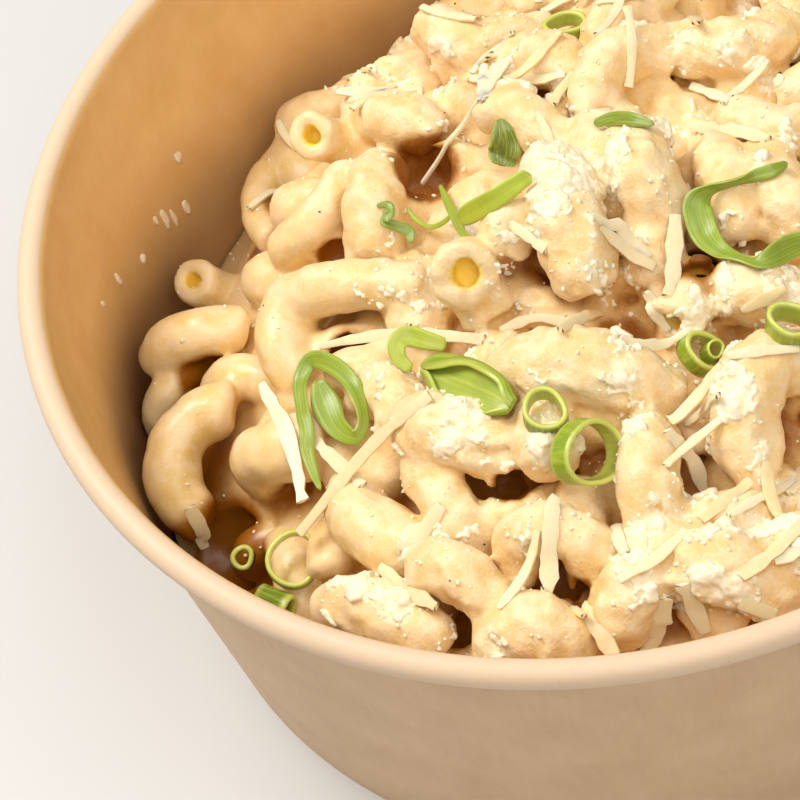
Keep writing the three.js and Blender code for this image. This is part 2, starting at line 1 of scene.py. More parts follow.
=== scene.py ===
"""Macaroni and cheese in a round kraft paper bowl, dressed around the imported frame.

The tables and the modelling are in millimetres, and every mesh is scaled to metres as it is made.
"""

import math

import bpy
import numpy as np
import openvdb
from mathutils import Matrix, Vector
from mathutils.bvhtree import BVHTree


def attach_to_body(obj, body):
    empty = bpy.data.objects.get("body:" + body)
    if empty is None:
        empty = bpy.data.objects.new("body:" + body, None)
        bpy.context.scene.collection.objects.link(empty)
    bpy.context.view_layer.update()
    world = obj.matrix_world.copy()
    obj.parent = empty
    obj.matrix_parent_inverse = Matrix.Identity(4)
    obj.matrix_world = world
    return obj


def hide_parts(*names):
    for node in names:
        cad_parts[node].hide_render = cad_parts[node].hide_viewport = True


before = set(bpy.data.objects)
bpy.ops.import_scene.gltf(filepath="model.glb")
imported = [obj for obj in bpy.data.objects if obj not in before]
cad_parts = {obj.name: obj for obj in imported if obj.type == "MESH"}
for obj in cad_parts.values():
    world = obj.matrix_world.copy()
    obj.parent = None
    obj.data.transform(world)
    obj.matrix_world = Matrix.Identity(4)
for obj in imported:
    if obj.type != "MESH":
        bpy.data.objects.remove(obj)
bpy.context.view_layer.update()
MM = 0.001

# ---------------------------------------------------------------- driving dimensions

# Camera: where it stands (millimetres), how it is turned (degrees), and its focal length in pixels.
PICTURE = 800
FOCAL_PIXELS = 3500
SENSOR = 36
CAMERA_AT = (0, -295.19, 397.50)
CAMERA_YAW = -5.945
CAMERA_PITCH = 51.547
CAMERA_ROLL = -16.859
CLIP_END = 10  # metres

# Lights: azimuth and elevation in degrees, distance and size in metres, power and colour; and the sky.
LIGHTS = {
    "key": (146, 54, 0.9, 0.45, 6.9, (1, 0.985, 0.955)),
    "top": (-60, 72, 0.9, 0.7, 3.6, (1, 0.985, 0.95)),
    "fill": (-80, 42, 1.2, 0.8, 3.1, (1, 0.97, 0.92)),
}
LIGHT_AIM = (0, 0, 0.04)  # metres
SKY_COLOR = (1, 0.94, 0.84)
SKY_STRENGTH = 0.27
FLOOR_HALF = 1500

# Bowl: a conical wall with a rolled rim, and a recessed base disc crimped into its foot.
RIM_RADIUS = 75
BOWL_HEIGHT = 60
FOOT_RADIUS = 64
PAPER = 0.6
ROLL_HALF_WIDTH = 1.85
ROLL_HALF_HEIGHT = 1.8
HEM_HEIGHT = 5
BASE_RISE = 5.6
SKIRT = 0.5
CLEARANCE = 0.3
BOWL_SIDES = 240
ROLL_STEPS = 22
WALL_STEPS = 20
ROLL_LIP = 0.5
AXIS_GAP = 0.4
SHARP_ANGLE = 40

# The wall's glued seam: how far it stands out, where it rises and falls again, in degrees and in height.
SEAM_AZIMUTH = 335
SEAM_STEP = 0.35
SEAM_LAP = (0, 1.5, 5, 11)
SEAM_HEIGHTS = (0, 3, 54, 57)

# The rim's pale tint by height, a painted highlight of its lit top, and the dark soak of sauce with painted
# shade over the food's level on the inside.
ROLL_PAINTED_HIGHLIGHT = (55.8, 57.4)
SOAK_AND_SHADE = 0.94
SOAK_AND_SHADE_RISE = (3, 24)
SOAK_AND_SHADE_AZIMUTH = 188
SOAK_AND_SHADE_SPREAD = (18, 55)
SOAK_AND_SHADE_ELSEWHERE = 0.35

# Core of the heap: its level along the wall by azimuth in degrees, rising to a crown.
WALL_LEVELS = [
    (0, 43), (50, 35), (90, 28), (125, 21), (150, 19), (175, 21), (200, 20),
    (212, 25), (225, 34), (240, 41), (260, 46), (300, 48), (330, 46), (360, 43),
]
CROWN = (8, 2)
CROWN_LEVEL = 56
DOME_POWER = 2.2
LEVEL_RADIUS = 66
CORE_DROP = 3.4
CORE_STEEPNESS = 0.8

# Macaroni: a bent tube, given by three points on its middle line, its width, and whether its ends show.
OPEN = True
ELBOWS = [
    # along the left wall
    [(-41.5, 44.5, 27), (-45.5, 35, 30), (-43.5, 25.5, 32), 5.2],
    [(-35, 29.5, 47.5), (-29.5, 31, 41.5), (-23.5, 25.5, 41), 6.4, OPEN],
    [(-41.5, 17, 40), (-35.5, 16, 46), (-30.5, 21, 47), 6.4],
    [(-56.5, 25.5, 28), (-54, 26, 24), (-50, 24.5, 22), 6.4, OPEN],
    [(-62, 12, 28), (-55.5, 10.5, 34), (-49.5, 10, 33), 7.2],
    [(-63.5, 5, 22), (-61.5, 7, 28), (-56.5, 10.5, 26), 5.2],
    [(-52, -4, 34), (-61.5, -8.5, 32), (-58, -16.5, 28), 7.8],
    [(-54, 3, 29), (-49, 1, 34), (-44, -3, 31), 6.6],
    [(-40, -18.5, 41), (-48, -15.5, 38), (-47.5, -12, 29), 8.6],
    [(-53.5, -21.5, 22), (-50.5, -20.5, 26), (-47.5, -20.5, 23), 5.8],
    # left slope
    [(-28, 7.5, 46), (-28, 11, 50), (-26, 18.5, 47), 8.4],
    [(-23, -3.5, 50), (-32.5, 0.5, 49), (-42.5, 4.5, 43), 7.2],
    [(-39, 4.5, 45), (-42.5, 1, 43), (-40.5, -7, 40), 8],
    [(-36, -8, 42), (-31, -11, 46), (-26, -9, 44), 6],
    [(-33, -15, 44), (-29, -20, 48), (-30, -26, 44), 7.2],
    [(-27, 33, 42), (-22, 28, 48), (-18, 24, 47), 7],
    [(-36, -27.5, 41), (-35, -36, 45), (-29.5, -41, 44), 9],
    # crest
    [(-17, -11.5, 60.5), (-16.5, -9, 55.5), (-15, -12, 50.5), 8.4, OPEN],
    [(-12, -6.5, 58), (-8, -2.5, 60), (-5, 1, 56), 7.4, OPEN],
    [(-4, 2, 60), (-3, -8, 62), (-2, -15.5, 57), 9],
    [(8, 4.5, 57), (8, -2, 62), (9, -7.5, 57), 8.2],
    [(3, 11, 55), (3, 3, 58), (3, -4, 55), 7.6],
    [(-10, 21, 53), (-5, 15, 56), (-2, 9, 53), 7],
    [(17, 4, 55), (18, -4, 58), (18, -11, 55), 7],
    [(23, 0, 55), (24, -8, 58), (25, -13, 53), 7.4],
    [(21, 9, 54), (26, 4, 57), (32, 5, 52), 7],
    [(7, 1, 54), (7, -7, 57), (7, -14, 54), 7.2],
    [(12, -18, 53), (17, -21, 57), (23, -23, 53), 8],
    [(7, -24.5, 58), (9.5, -21, 57), (11.5, -15, 53), 7.2, OPEN],
    [(-14, -25, 54), (-4, -29, 59), (4, -33, 53), 9],
    [(-8, -29, 49), (-4, -33, 53), (0, -31, 50), 7],
    # front slope
    [(22.5, -34.5, 55), (13.5, -38, 58), (15, -44, 52), 8.6],
    [(2, -38, 54), (0, -46.5, 56), (0, -50, 49), 7.6],
    [(-11, -40, 56), (-11, -34, 55), (-9, -29, 51), 8, OPEN],
    [(-26, -25, 49), (-21, -32, 54), (-15, -34, 51), 8.6],
    [(-26.5, -30.5, 47), (-25, -37.5, 49), (-24, -41.5, 46), 7.4],
    [(-23, -38, 43), (-18, -41, 47), (-12, -40, 46), 7.2],
    [(-29, -46, 48), (-24, -50.5, 51), (-20, -54.5, 47), 6.8],
    [(-16, -49, 46), (-11.5, -48.5, 54), (-8.5, -52, 48), 6.6],
    [(0, -48, 49), (6, -51, 52), (13, -51, 50), 7.4],
    [(26, -42, 52), (30, -36, 55), (28, -29, 52), 7.8],
    # along the front wall
    [(-20.5, -59.5, 44), (-16, -59.5, 50), (-14, -62, 45), 8],
    [(-41.5, -42.5, 38), (-35, -49, 45), (-29, -55, 43), 7.8],
    [(-8, -58.5, 46), (-3, -56.5, 52), (1.5, -51, 49), 8.4],
    [(1, -56, 50), (6, -58, 53), (12, -61, 47), 8.6],
    [(11, -53, 47), (16, -57, 52), (22, -53, 48), 7.6],
]

# More macaroni covers the rest of the heap: the back, and the right.
SEED = 20240
DRAWS = 2500
SPREAD_RADIUS = 62
SPACING = 8.8
BACK_SLOPE, BACK_OFFSET = 0.5, 25.5
RIGHT_SLOPE, RIGHT_OFFSET = -0.2, 32
BEND_RADIUS = (6, 8)
HALF_SWEEP = (0.95, 1.25)
ACROSS = (7, 8.4)
CROWN_LIFT = (1.2, 3)
TILT = (0.25, 1.35)
DRAWN_OPEN = 0.3

# A second layer lies sunk in the core under both, so that the gaps show macaroni too.
SUNK_SEED = 71
SUNK_DRAWS = 2200
SUNK_SPACING = 6.6
SUNK_LIFT = (-5, -2.4)
SUNK_FROM_X = -40
SUNK_BELOW_Y = -30

# Hollows between the macaroni, carved and darkened with painted shade: centre and radius.
GAPS = [
    ((-20.5, 17, 50), 4), ((-41.5, 31.5, 30), 3.6),
    ((-34.5, 11.5, 42), 2.4), ((-34.5, -5.5, 42), 3),
    ((-55, 8, 28), 4.5), ((-57.5, -19, 24), 6.5),
    ((-51.5, -28, 26), 5.5), ((-50.5, -12, 34), 3.5),
    ((-18, -34.5, 47), 3.2), ((-12.5, -50.5, 46), 3.6),
    ((-24.5, -52, 42), 3), ((1, -20, 54), 3),
    ((11.5, -16, 53), 3.5), ((-46.5, 29, 28), 3),
    ((-9.5, -54, 48), 2.5), ((-65.5, 12.5, 20), 4),
    ((11.5, -12, 49), 4), ((-20.5, 20.5, 45), 4.5),
]

# Hollows that are cut into the placed macaroni as well, and darkened with painted shade.
NOTCHES = [((11.4, -18.5, 56.5), 3.8), ((1.1, -20.6, 54.5), 3.4), ((-16.1, -37.7, 50), 2.6)]

# Form of one macaroni: its bore and ends, and how its width swells along it.
BORE_RATIO = 0.4
BORE_FILLET = 0.5
BORE_EDGE = 0.7
BORE_MOUTH = (-0.6, 0.4)
OPEN_DEPTH = 2.9
CUT_ROUNDING = 0.7
HIDDEN_ROUNDING = 0.24
SWELL = 0.035
SWELL_WAVES = 4
SWELL_SHIFT = 6

# The voxel field that the heap is made in, and its relief (amplitude, size).
VOXEL = 0.5
BAND = 3 * VOXEL
FIELD_LOW = (-73, -73, 4)
FIELD_HIGH = (73, 73, 72)
CORE_FILLET = 1.2
SAUCE_FILLET = 0.9
RELIEF = [(0.4, 5.2), (0.42, 2.4), (0.28, 1.3)]
LEAST_RELIEF = 0.4
PASTE_RELIEF = 0.75
CURD_RELIEF = [(0.7, 3.2), (0.6, 1.6), (0.3, 0.9)]
CURD_RELIEF_SINK = 0.25
HEAP_TRIANGLES = 196_000

# What the heap's material reads: the coarse paste by x, the depth in gaps for painted shade, and how
# crowded a point is, for painted shade in creases and painted light on ridges.
PASTE_EDGE = (-48, -22)
PASTE_DRIFT = 9
PASTE_DRIFT_SIZE = 14
DEPTH_REACH = 5
DEPTH_RANGE = (1, 7.5)
CROWD_REACH = 4
GAP_EDGE = (1.1, 1.5)

# Where curdled cheese clings to the macaroni: centre and radius, full within a share of it, and in patches.
CURDS = [
    ((-4.5, -4, 64), 7), ((-3, -3, 63), 11), ((8, 0.5, 63), 8), ((-21, -30, 55), 6.5),
    ((-20.5, -33, 55), 5), ((-27.5, -29, 50), 4), ((-28.5, -43, 48), 5), ((-39, -47.5, 47), 7),
    ((-34, -52, 46), 8),
    ((-22, -11.5, 57), 3.5), ((-16, -13, 57), 4), ((-1.5, -22.5, 60), 6), ((7.5, -14, 60), 5),
    ((11, -21, 57), 6), ((9, -25, 57), 5), ((18, -23.5, 58), 8), ((20, -21, 58), 9),
    ((17, -32.5, 59), 6), ((10.5, -39, 56), 6), ((12, -38, 60), 6), ((-10, -39, 58), 5),
    ((0, -40, 57), 5), ((-1, -37, 58), 5), ((17, -46, 54), 7), ((13, -59.5, 54), 8),
    ((-2, -55.5, 54), 7), ((4, -57, 54), 11), ((14, -60, 52), 9), ((36, -20, 56), 9),
    ((30, -48, 52), 9), ((30, 18, 58), 10), ((-4, 24, 56), 8), ((48, 10, 54), 9),
    ((14, 42, 50), 9), ((-16, 36, 48), 6),
]
CURD_CORE = 0.45
CURD_PATCH_SIZE = 4.2
CURD_PATCH_EDGE = (-0.35, 0.35)

# Loose curd all over the coarse paste.
CURD_LOOSE = 0.42
LOOSE_SIZE = 5.5
LOOSE_EDGE = (-0.1, 0.5)

# The curd's crust: the heap's triangles split finer, raised by lumps (share, size), sunk at a ragged edge.
CRUST_LEAST = 0.12
CRUST_SPLITS = 2
CRUST_LUMPS = [(0.4, 2), (0.35, 1), (0.35, 0.5)]
CRUST_RAGGED = 0.5
CRUST_EDGE = (0.42, 0.54)
CRUST_HEIGHT = 0.5
CRUST_ROUGHNESS = 0.6
CRUST_SINK = 0.3
CRUST_TRIANGLES = 190_000

# Spring onion. A ring: centre, axis, outer radius, length, and the radius of a core leaf.
RINGS = {
    "scallion_ring_small": ((-10.5, -36, 60.9), (0.1, -0.1, 1), 2.9, 2.3, 0),
    "scallion_ring_large": ((-6.4, -42.2, 59.4), (0.72, -0.63, 0.55), 4.3, 3, 0),
    "scallion_ring_cored": ((9.7, -28.8, 56.6), (0.54, -0.31, 0.78), 2.8, 2.6, 1.2),
    "scallion_ring_right": ((20.6, -32.6, 63), (0.16, -0.13, 0.98), 2.8, 3.6, 0),
    "scallion_ring_tiny": ((-53.8, -25.6, 30.6), (0, -0.5, 0.87), 1.6, 1.8, 0),
    "scallion_ring_thin": ((-46.6, -31.8, 36.4), (0.1, -0.4, 0.9), 3.6, 1.8, 0),
    "scallion_ring_back": ((2, 35, 51.4), (0.1, 0.2, 1), 3, 2.2, 0),
    "scallion_ring_far": ((38, 20, 56.2), (0.3, 0.1, 0.95), 3.6, 2.4, 0),
    "scallion_ring_side": ((50, -16, 51), (0.3, -0.1, 0.95), 2.6, 2, 0),
    "scallion_chunk": ((-50.2, -35.6, 33), (0.62, -0.7, 0.35), 1.9, 6, 0),
}
RING_WALL = 0.65
RING_STATIONS = 56
RING_WOBBLE = [(0.06, 2), (0.035, 3)]
RING_SKEW = 0.12
RING_CUT = (0.75, 1.05)
RING_CUT_FLESH = 0.75
RING_INSIDE_FLESH = 0.5
CORE_LEAF_LENGTH = 0.8

# A strip: points of its middle line, each with its width, and its twist about that line in degrees.
STRIPS = {
    "scallion_ribbon": [
        (25.4, -6.2, 62, 0.8, 40), (23.4, -7.4, 62.6, 1.8, 40), (21.4, -7.4, 62.4, 1.7, 45),
        (19.4, -7.4, 62.2, 1.7, 95), (17.3, -7.6, 62.2, 1.8, 100), (15, -7.6, 61.8, 2.3, 80),
        (13.3, -9, 61.2, 3.7, 20), (13.2, -11.3, 60.4, 3.8, 0), (13.6, -13.8, 60, 3.5, -10),
        (14.7, -16.6, 60.6, 2.5, -10), (16.3, -19, 61.6, 2, 20), (17.9, -20.7, 62.1, 2, 25),
        (19.6, -21.1, 62.2, 2.3, -20), (21.6, -19.9, 61.6, 3.1, -40), (23.8, -18, 60.2, 3.1, -40),
        (26.1, -17.2, 59.4, 2, -40),
    ],
    "scallion_twist": [
        (-40.8, -28.6, 45.4, 0.6, 0), (-41.4, -25.1, 45.2, 1.4, 0), (-41.7, -22, 45.6, 1.8, -5),
        (-41.3, -19.5, 46.4, 2, 0), (-41.5, -15.1, 46.2, 2, 25), (-41.2, -10.7, 45.8, 2.1, 5),
        (-39.3, -8.7, 46.8, 2.4, -35), (-36.6, -11.8, 48.8, 2.5, -25), (-34.5, -15.8, 49.8, 2.3, -10),
        (-33.8, -19.2, 49.4, 2, 30), (-33.9, -21.8, 48.2, 1.7, 40), (-35.3, -23, 47.4, 2.1, 45),
        (-37.5, -19.4, 45.8, 3, 15), (-38.5, -15.2, 45.6, 3.8, 5), (-39, -11.8, 46.4, 1.7, 0),
    ],
    "scallion_oval": [
        (-24.8, -17.5, 51.5, 1.7, -40), (-23.1, -19.5, 53, 4.2, -35), (-21.3, -22.4, 54.4, 5.8, -30),
        (-19.4, -25.4, 56, 6.5, -30), (-17.5, -28.3, 57.6, 6.2, -30), (-15.8, -30.6, 58.4, 4.8, -25),
        (-14.3, -32.2, 58.6, 2.3, -25),
    ],
    "scallion_leaf_dark": [
        (-9.1, 14.9, 58.4, 1.1, 0), (-9, 13.4, 57.5, 3.1, 5), (-9.1, 12.2, 56, 4.4, 15),
        (-9.6, 11.5, 54.6, 4, 20), (-10, 10.7, 54, 2.8, 25),
    ],
    "scallion_leaf_back": [
        (2.8, 6.9, 62.4, 1.1, -40), (5.2, 6.2, 63.4, 1.8, -40),
        (7.6, 3.6, 65.4, 1.8, -35), (10.2, 1.4, 66, 0.8, -30),
    ],
    "scallion_curl": [
        (-27.1, 8.2, 54.4, 0.7, -35), (-25.6, 8, 54.4, 1.1, -25), (-25.6, 6.7, 54.2, 1.4, 15),
        (-26.5, 5.9, 53.6, 1.3, -10), (-25.1, 5.5, 52.8, 1.4, -35), (-23.7, 4.7, 52, 1.6, -15),
        (-23.6, 3.1, 51.6, 0.6, 0),
    ],
    "scallion_leaf_side": [
        (39, -14, 54.4, 1.6, -25), (42.6, -8.6, 58.6, 3, -20),
        (46, -2.6, 57.4, 3, -25), (47.4, 3, 56, 1.4, -20),
    ],
    "scallion_strip_back": [
        (15, 38, 51.6, 1.6, -40), (19, 39.6, 52.6, 2.6, -35),
        (23, 39.4, 52.2, 2.6, -35), (26.4, 37, 51.8, 1.4, -30),
    ],
    "scallion_sliver": [
        (-18.6, 11.6, 52, 0.5, 0), (-18, 7.5, 53.2, 1.1, -5), (-17.3, 3, 55, 1.3, -5),
        (-16.5, -2.8, 58.2, 1.1, -10), (-15.1, -8.2, 61.6, 0.6, -15),
    ],
    "scallion_thread": [
        (-23.5, 9.9, 50.8, 0.6, -10), (-22.6, 7.9, 50.4, 0.7, -20), (-20.9, 5.5, 51.2, 0.7, -40),
        (-19.1, 4.5, 52.6, 0.7, -45), (-17.5, 3.7, 54.8, 0.6, -30),
    ],
    "scallion_strip": [
        (-6.4, -3.4, 67.2, 2, 40), (-9, -3.8, 66, 2.5, 40), (-12.1, -4, 64.4, 2.7, 50),
        (-14.9, -2.5, 61.4, 2.8, 60), (-16.6, -1.4, 59.4, 1.8, 60),
    ],
    "scallion_ring_pale": [
        (-21.5, -15.2, 52, 1.7, 35), (-23.6, -14.4, 52.6, 2.4, 35), (-25.9, -13.3, 53, 2.7, 35),
        (-27.5, -14, 53, 2.5, 25), (-27.7, -15.6, 52, 2, -10), (-26.5, -17.1, 51, 1.4, -20),
    ],
}
SHARED_NODES = {"scallion_thread": "scallion_sliver"}
STATIONS_A_ROW = 12
STRIP_THICKNESS = 0.5
STRIP_GUTTER = 0.12
STRIP_RIPPLE = 0.12
STRIP_RIPPLE_SIZE = 2.5
STRIP_TIP = 0.35
STRIP_TIP_STATIONS = 3
STRIP_CUT = (0.85, 1)
STRIP_CUT_FLESH = 0.55
STRIP_INSIDE_FLESH = 0.12

# The strip that is a slice of hollow leaf. Its gape, half an angle in radians, opens and closes along it.
POD = "scallion_oval"
POD_SIDES = 14
POD_GAPE = 1.0
POD_LEAST_GAPE = 0.08
POD_GAPE_PLACES = (0.12, 0.5, 0.75, 1)
POD_FLATNESS = 0.42
POD_LEAN = 0.12
POD_WALL = 0.5
POD_UNEVENNESS = 0.1
POD_UNEVEN_SIZE = 1.5
POD_LIP_FLESH = 0.7
POD_INSIDE_FLESH = 0.3

# How light each piece is, from the dark green of a leaf to the pale green near the root.
RING_TONES = {
    "scallion_ring_small": 0.35, "scallion_ring_large": 0.7, "scallion_ring_cored": 0.6,
    "scallion_ring_right": 0.75, "scallion_ring_tiny": 0, "scallion_ring_thin": 0.45,
    "scallion_chunk": 0.3,
}
RING_TONE = 0.6
STRIP_TONES = {
    "scallion_leaf_dark": 0.1, "scallion_leaf_back": 0.3, "scallion_curl": 0.3, "scallion_strip": 0.95,
    "scallion_oval": 0.6, "scallion_ring_pale": 0.95, "scallion_thread": 0.8, "scallion_sliver": 0.6,
}
STRIP_TONE = 0.5

# Shreds of hard cheese that the picture shows: pixels that each one passes through, and its width.
SHRED_PIXELS = [
    ([(442, 505), (425, 528), (404, 552)], 1.9), ([(314, 440), (338, 462), (362, 486)], 1.8),
    ([(265, 384), (286, 430), (306, 498)], 1.9), ([(430, 395), (372, 445), (302, 530)], 1.7),
    ([(190, 507), (200, 526), (208, 545)], 1.9), ([(320, 346), (400, 334), (484, 340)], 1.5),
    ([(553, 495), (549, 545), (543, 592)], 2.1), ([(664, 598), (656, 625), (646, 655)], 3),
    ([(682, 584), (694, 608), (706, 632)], 2), ([(582, 603), (597, 628), (612, 652)], 2),
    ([(666, 430), (690, 462), (704, 492)], 1.9), ([(592, 214), (622, 236), (650, 256)], 1.5),
    ([(675, 215), (672, 255), (668, 297)], 2.1), ([(511, 224), (528, 238), (546, 250)], 1.4),
    ([(641, 294), (655, 314), (668, 330)], 1.4), ([(784, 288), (763, 300), (742, 310)], 1.5),
    ([(692, 128), (730, 130), (768, 140)], 1.9), ([(726, 356), (760, 351), (798, 349)], 1.2),
    ([(380, 566), (408, 588), (436, 605)], 2), ([(620, 338), (655, 346), (690, 330)], 1.3),
    ([(700, 520), (726, 500), (750, 480)], 1.5), ([(500, 330), (535, 318), (565, 322)], 1.4),
    ([(560, 330), (582, 318), (600, 312)], 1.5), ([(740, 600), (757, 608), (775, 615)], 1.8),
]
SHRED_STATIONS = 16
SHRED_LEAST_HITS = 5
SHRED_THICKNESS = 0.65
SHRED_DROOP = 0.25
SHRED_MOST_DROOP = 0.7
SHRED_SHARP_ANGLE = 50
SHRED_TIP_WIDTH = 0.72
SHRED_BELLY = 0.28
SHRED_RAGGEDNESS = 0.34
SHRED_RAGGED_SIZE = 1.3
SHRED_SECTION = [(-1, -0.6), (0, -1), (1, -0.6), (1, 0.6), (0, 1), (-1, 0.6)]

# More shreds are drawn over the rest of the heap, clear of the onion and of the wall.
DRAWN_SHREDS = 110
DRAWN_SHRED_STATIONS = 10
SHRED_SEED = 5
SHRED_LENGTH = (5, 13)
SHRED_WIDTH = (1, 1.8)
SHRED_BOW = 0.15
SHRED_RADIUS = 66
SHRED_REACH = 68
SHRED_CLEARANCE = 4.5
BARE_LEFT = (-18, 30)

# Grains scattered on the heap.
SCATTER_TRIES = 45_000
SCATTER_RADIUS = 68
DROP_HEIGHT = 90
GRAIN_UNEVENNESS = 0.4
GRAIN_WIDTH = (0.5, 1)
GRAIN_LEVELLING = 0.6
GRAIN_LEAN = 0.45
GRAIN_LIFT = 0.1
GRAIN_TONE = (0.3, 1)
CRUMBS = 1500
CRUMB_SEED = 11
CRUMB_SIZE = (0.2, 0.5)
CRUMB_SQUASH = 0.6

# How likely a crumb is: anywhere, in patches right of the smooth left, and on the curd.
CRUMB_ANYWHERE = 0.01
CRUMB_IN_PATCH = 0.12
CRUMB_PATCH_SIZE = 3.5
CRUMB_PATCH_FROM_X = -30
CRUMB_ON_CURD = 0.25
CRUMB_CURD_EDGE = (0.35, 0.8)

PEPPER = 35
PEPPER_SEED = 3
PEPPER_SIZE = (0.14, 0.3)
PEPPER_SQUASH = 0.7

# Sauce splashed on the wall: azimuth, height, and half length and half width.
SPLASHES = [
    (143.6, 37, 1.1, 0.7), (150, 32.4, 1.9, 0.6), (148.6, 30.6, 1.6, 0.5), (146, 29.6, 1.3, 0.5),
    (162.6, 37.2, 1.3, 0.5), (156.6, 33, 0.9, 0.6), (151.5, 34, 0.8, 0.4), (168, 40, 0.6, 0.3),
    (38, 50, 1.4, 0.7), (62, 47, 1, 0.6), (75, 42, 1.7, 0.6), (-8, 54, 1, 0.5),
]
SPLASH_THICKNESS = 0.28
SPLASH_UNEVENNESS = 0.35

# ---------------------------------------------------------------- camera and light


def camera_axes():
    """The camera's right, up and forward directions."""
    yaw, pitch, roll = (math.radians(angle) for angle in (CAMERA_YAW, CAMERA_PITCH, CAMERA_ROLL))
    level = math.cos(pitch)
    forward = Vector((math.sin(yaw) * level, math.cos(yaw) * level, -math.sin(pitch)))
    level_right = forward.cross(Vector((0, 0, 1))).normalized()
    level_up = level_right.cross(forward)
    right = level_right * math.cos(roll) + level_up * math.sin(roll)
    up = level_up * math.cos(roll) - level_right * math.sin(roll)
    return right, up, forward


def pixel_ray(u, v):
    """Direction from the camera through a pixel."""
    right, up, forward = camera_axes()
    half = PICTURE / 2
    return (forward + right * (u - half) / FOCAL_PIXELS - up * (v - half) / FOCAL_PIXELS).normalized()


def add_camera():
    right, up, forward = camera_axes()
    camera = bpy.data.objects.new("camera", bpy.data.cameras.new("camera"))
    camera.data.sensor_width = SENSOR
    camera.data.lens = SENSOR * FOCAL_PIXELS / PICTURE
    camera.data.clip_end = CLIP_END
    turn = Matrix((right, up, -forward)).transposed().to_4x4()
    camera.matrix_world = Matrix.Translation(Vector(CAMERA_AT) * MM) @ turn
    bpy.context.scene.collection.objects.link(camera)
    bpy.context.scene.camera = camera


def add_area_light(name, azimuth, elevation, distance, size, power, color):
    """A square soft light that looks at the heap from an azimuth and an elevation in degrees."""
    light = bpy.data.lights.new(name, "AREA")
    light.size = size
    light.energy = power
    light.color = color
    azimuth, elevation = math.radians(azimuth), math.radians(elevation)
    level = math.cos(elevation)
    away = Vector((math.cos(azimuth) * level, math.sin(azimuth) * level, math.sin(elevation)))
    lamp = bpy.data.objects.new(name, light)
    lamp.rotation_euler = away.to_track_quat("Z", "Y").to_euler()
    lamp.location = Vector(LIGHT_AIM) + away * distance
    bpy.context.scene.collection.objects.link(lamp)


def add_lights():
    for name, row in LIGHTS.items():
        add_area_light(name, *row)
    world = bpy.data.worlds.new("studio")
    world.use_nodes = True
    background = world.node_tree.nodes["Background"]
    background.inputs["Color"].default_value = (*SKY_COLOR, 1)
    background.inputs["Strength"].default_value = SKY_STRENGTH
    bpy.context.scene.world = world
    bpy.context.scene.view_settings.view_transform = "Standard"


# ---------------------------------------------------------------- draws, noise and meshes

DRAW_FACTOR = 1664525
DRAW_STEP = 1013904223
DRAW_RANGE = 2 ** 32
NOISE_TABLE_SIZE = 8192
NOISE_TABLE = np.random.default_rng(9).random(NOISE_TABLE_SIZE) * 2 - 1
NOISE_PRIMES = (73856093, 19349663, 83492791)
NOISE_SEED_PRIME = 2654435761


def seeded_draws(seed):
    """Draws from 0 to 1, always the same run for the same seed."""
    state = seed
    while True:
        state = (state * DRAW_FACTOR + DRAW_STEP) % DRAW_RANGE
        yield state / DRAW_RANGE


def between(limits, part):
    """The number a part of the way from the lower limit to the upper one."""
    low, high = limits
    return low + (high - low) * part


def value_noise(points, size, seed):
    """Smooth noise from -1 to 1 at each point, with features about as large as size."""
    cells = points / size
    base = np.floor(cells).astype(np.int64)
    part = cells - base
    part = part * part * (3 - 2 * part)
    total = np.zeros(len(points))
    for corner in np.ndindex(2, 2, 2):
        at = (base + corner) * NOISE_PRIMES
        key = at[:, 0] ^ at[:, 1] ^ at[:, 2] ^ seed * NOISE_SEED_PRIME
        weight = np.prod(np.where(corner, part, 1 - part), axis=1)
        total += NOISE_TABLE[(key ^ key >> 13) % NOISE_TABLE_SIZE] * weight
    return total


def smoothstep(value, low, high):
    """Rises smoothly from 0 to 1 as the value goes from low to high."""
    part = np.clip((value - low) / (high - low), 0, 1)
    return part * part * (3 - 2 * part)


def plateau(value, low, high, still_high, low_again):
    """Rises smoothly from 0 to 1, stays there, and falls back to 0."""
    return smoothstep(value, low, high) * (1 - smoothstep(value, still_high, low_again))


def new_piece(name, points, faces, material, smooth=True):
    """A mesh object from points in millimetres. Faces are rows of the same number of corners."""
    faces = np.asarray(faces, np.int32)
    mesh = bpy.data.meshes.new(name)
    mesh.vertices.add(len(points))
    mesh.vertices.foreach_set("co", (np.asarray(points, np.float32) * MM).ravel())
    mesh.loops.add(faces.size)
    mesh.loops.foreach_set("vertex_index", faces.ravel())
    mesh.polygons.add(len(faces))
    mesh.polygons.foreach_set("loop_start", np.arange(0, faces.size, faces.shape[1], dtype=np.int32))
    mesh.polygons.foreach_set("use_smooth", np.full(len(faces), smooth))
    mesh.update(calc_edges=True)
    mesh.validate()
    piece = bpy.data.objects.new(name, mesh)
    piece.data.materials.append(material)
    bpy.context.scene.collection.objects.link(piece)
    return piece


def attach(piece, node=None):
    """Puts a piece on the bowl's one body, and in the place of a CAD node."""
    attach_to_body(piece, "root")
    if node:
        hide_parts(node)


def paint(piece, name, values):
    """Stores one number a vertex for the material."""
    layer = piece.data.attributes.new(name, "FLOAT", "POINT")
    layer.data.foreach_set("value", np.asarray(values, np.float32))


def vertex_points(piece):
    """Where the points of a piece are, in millimetres."""
    points = np.zeros(3 * len(piece.data.vertices), np.float32)
    piece.data.vertices.foreach_get("co", points)
    return points.reshape(-1, 3) / MM


def face_corners(piece):
    """The point at each corner of each face, in one row."""
    index = np.zeros(len(piece.data.loops), np.int32)
    piece.data.loops.foreach_get("vertex_index", index)
    return index


def mark_sharp(piece, angle):
    """Smooth faces with the edges sharper than the angle kept."""
    piece.data.set_sharp_from_angle(angle=math.radians(angle))


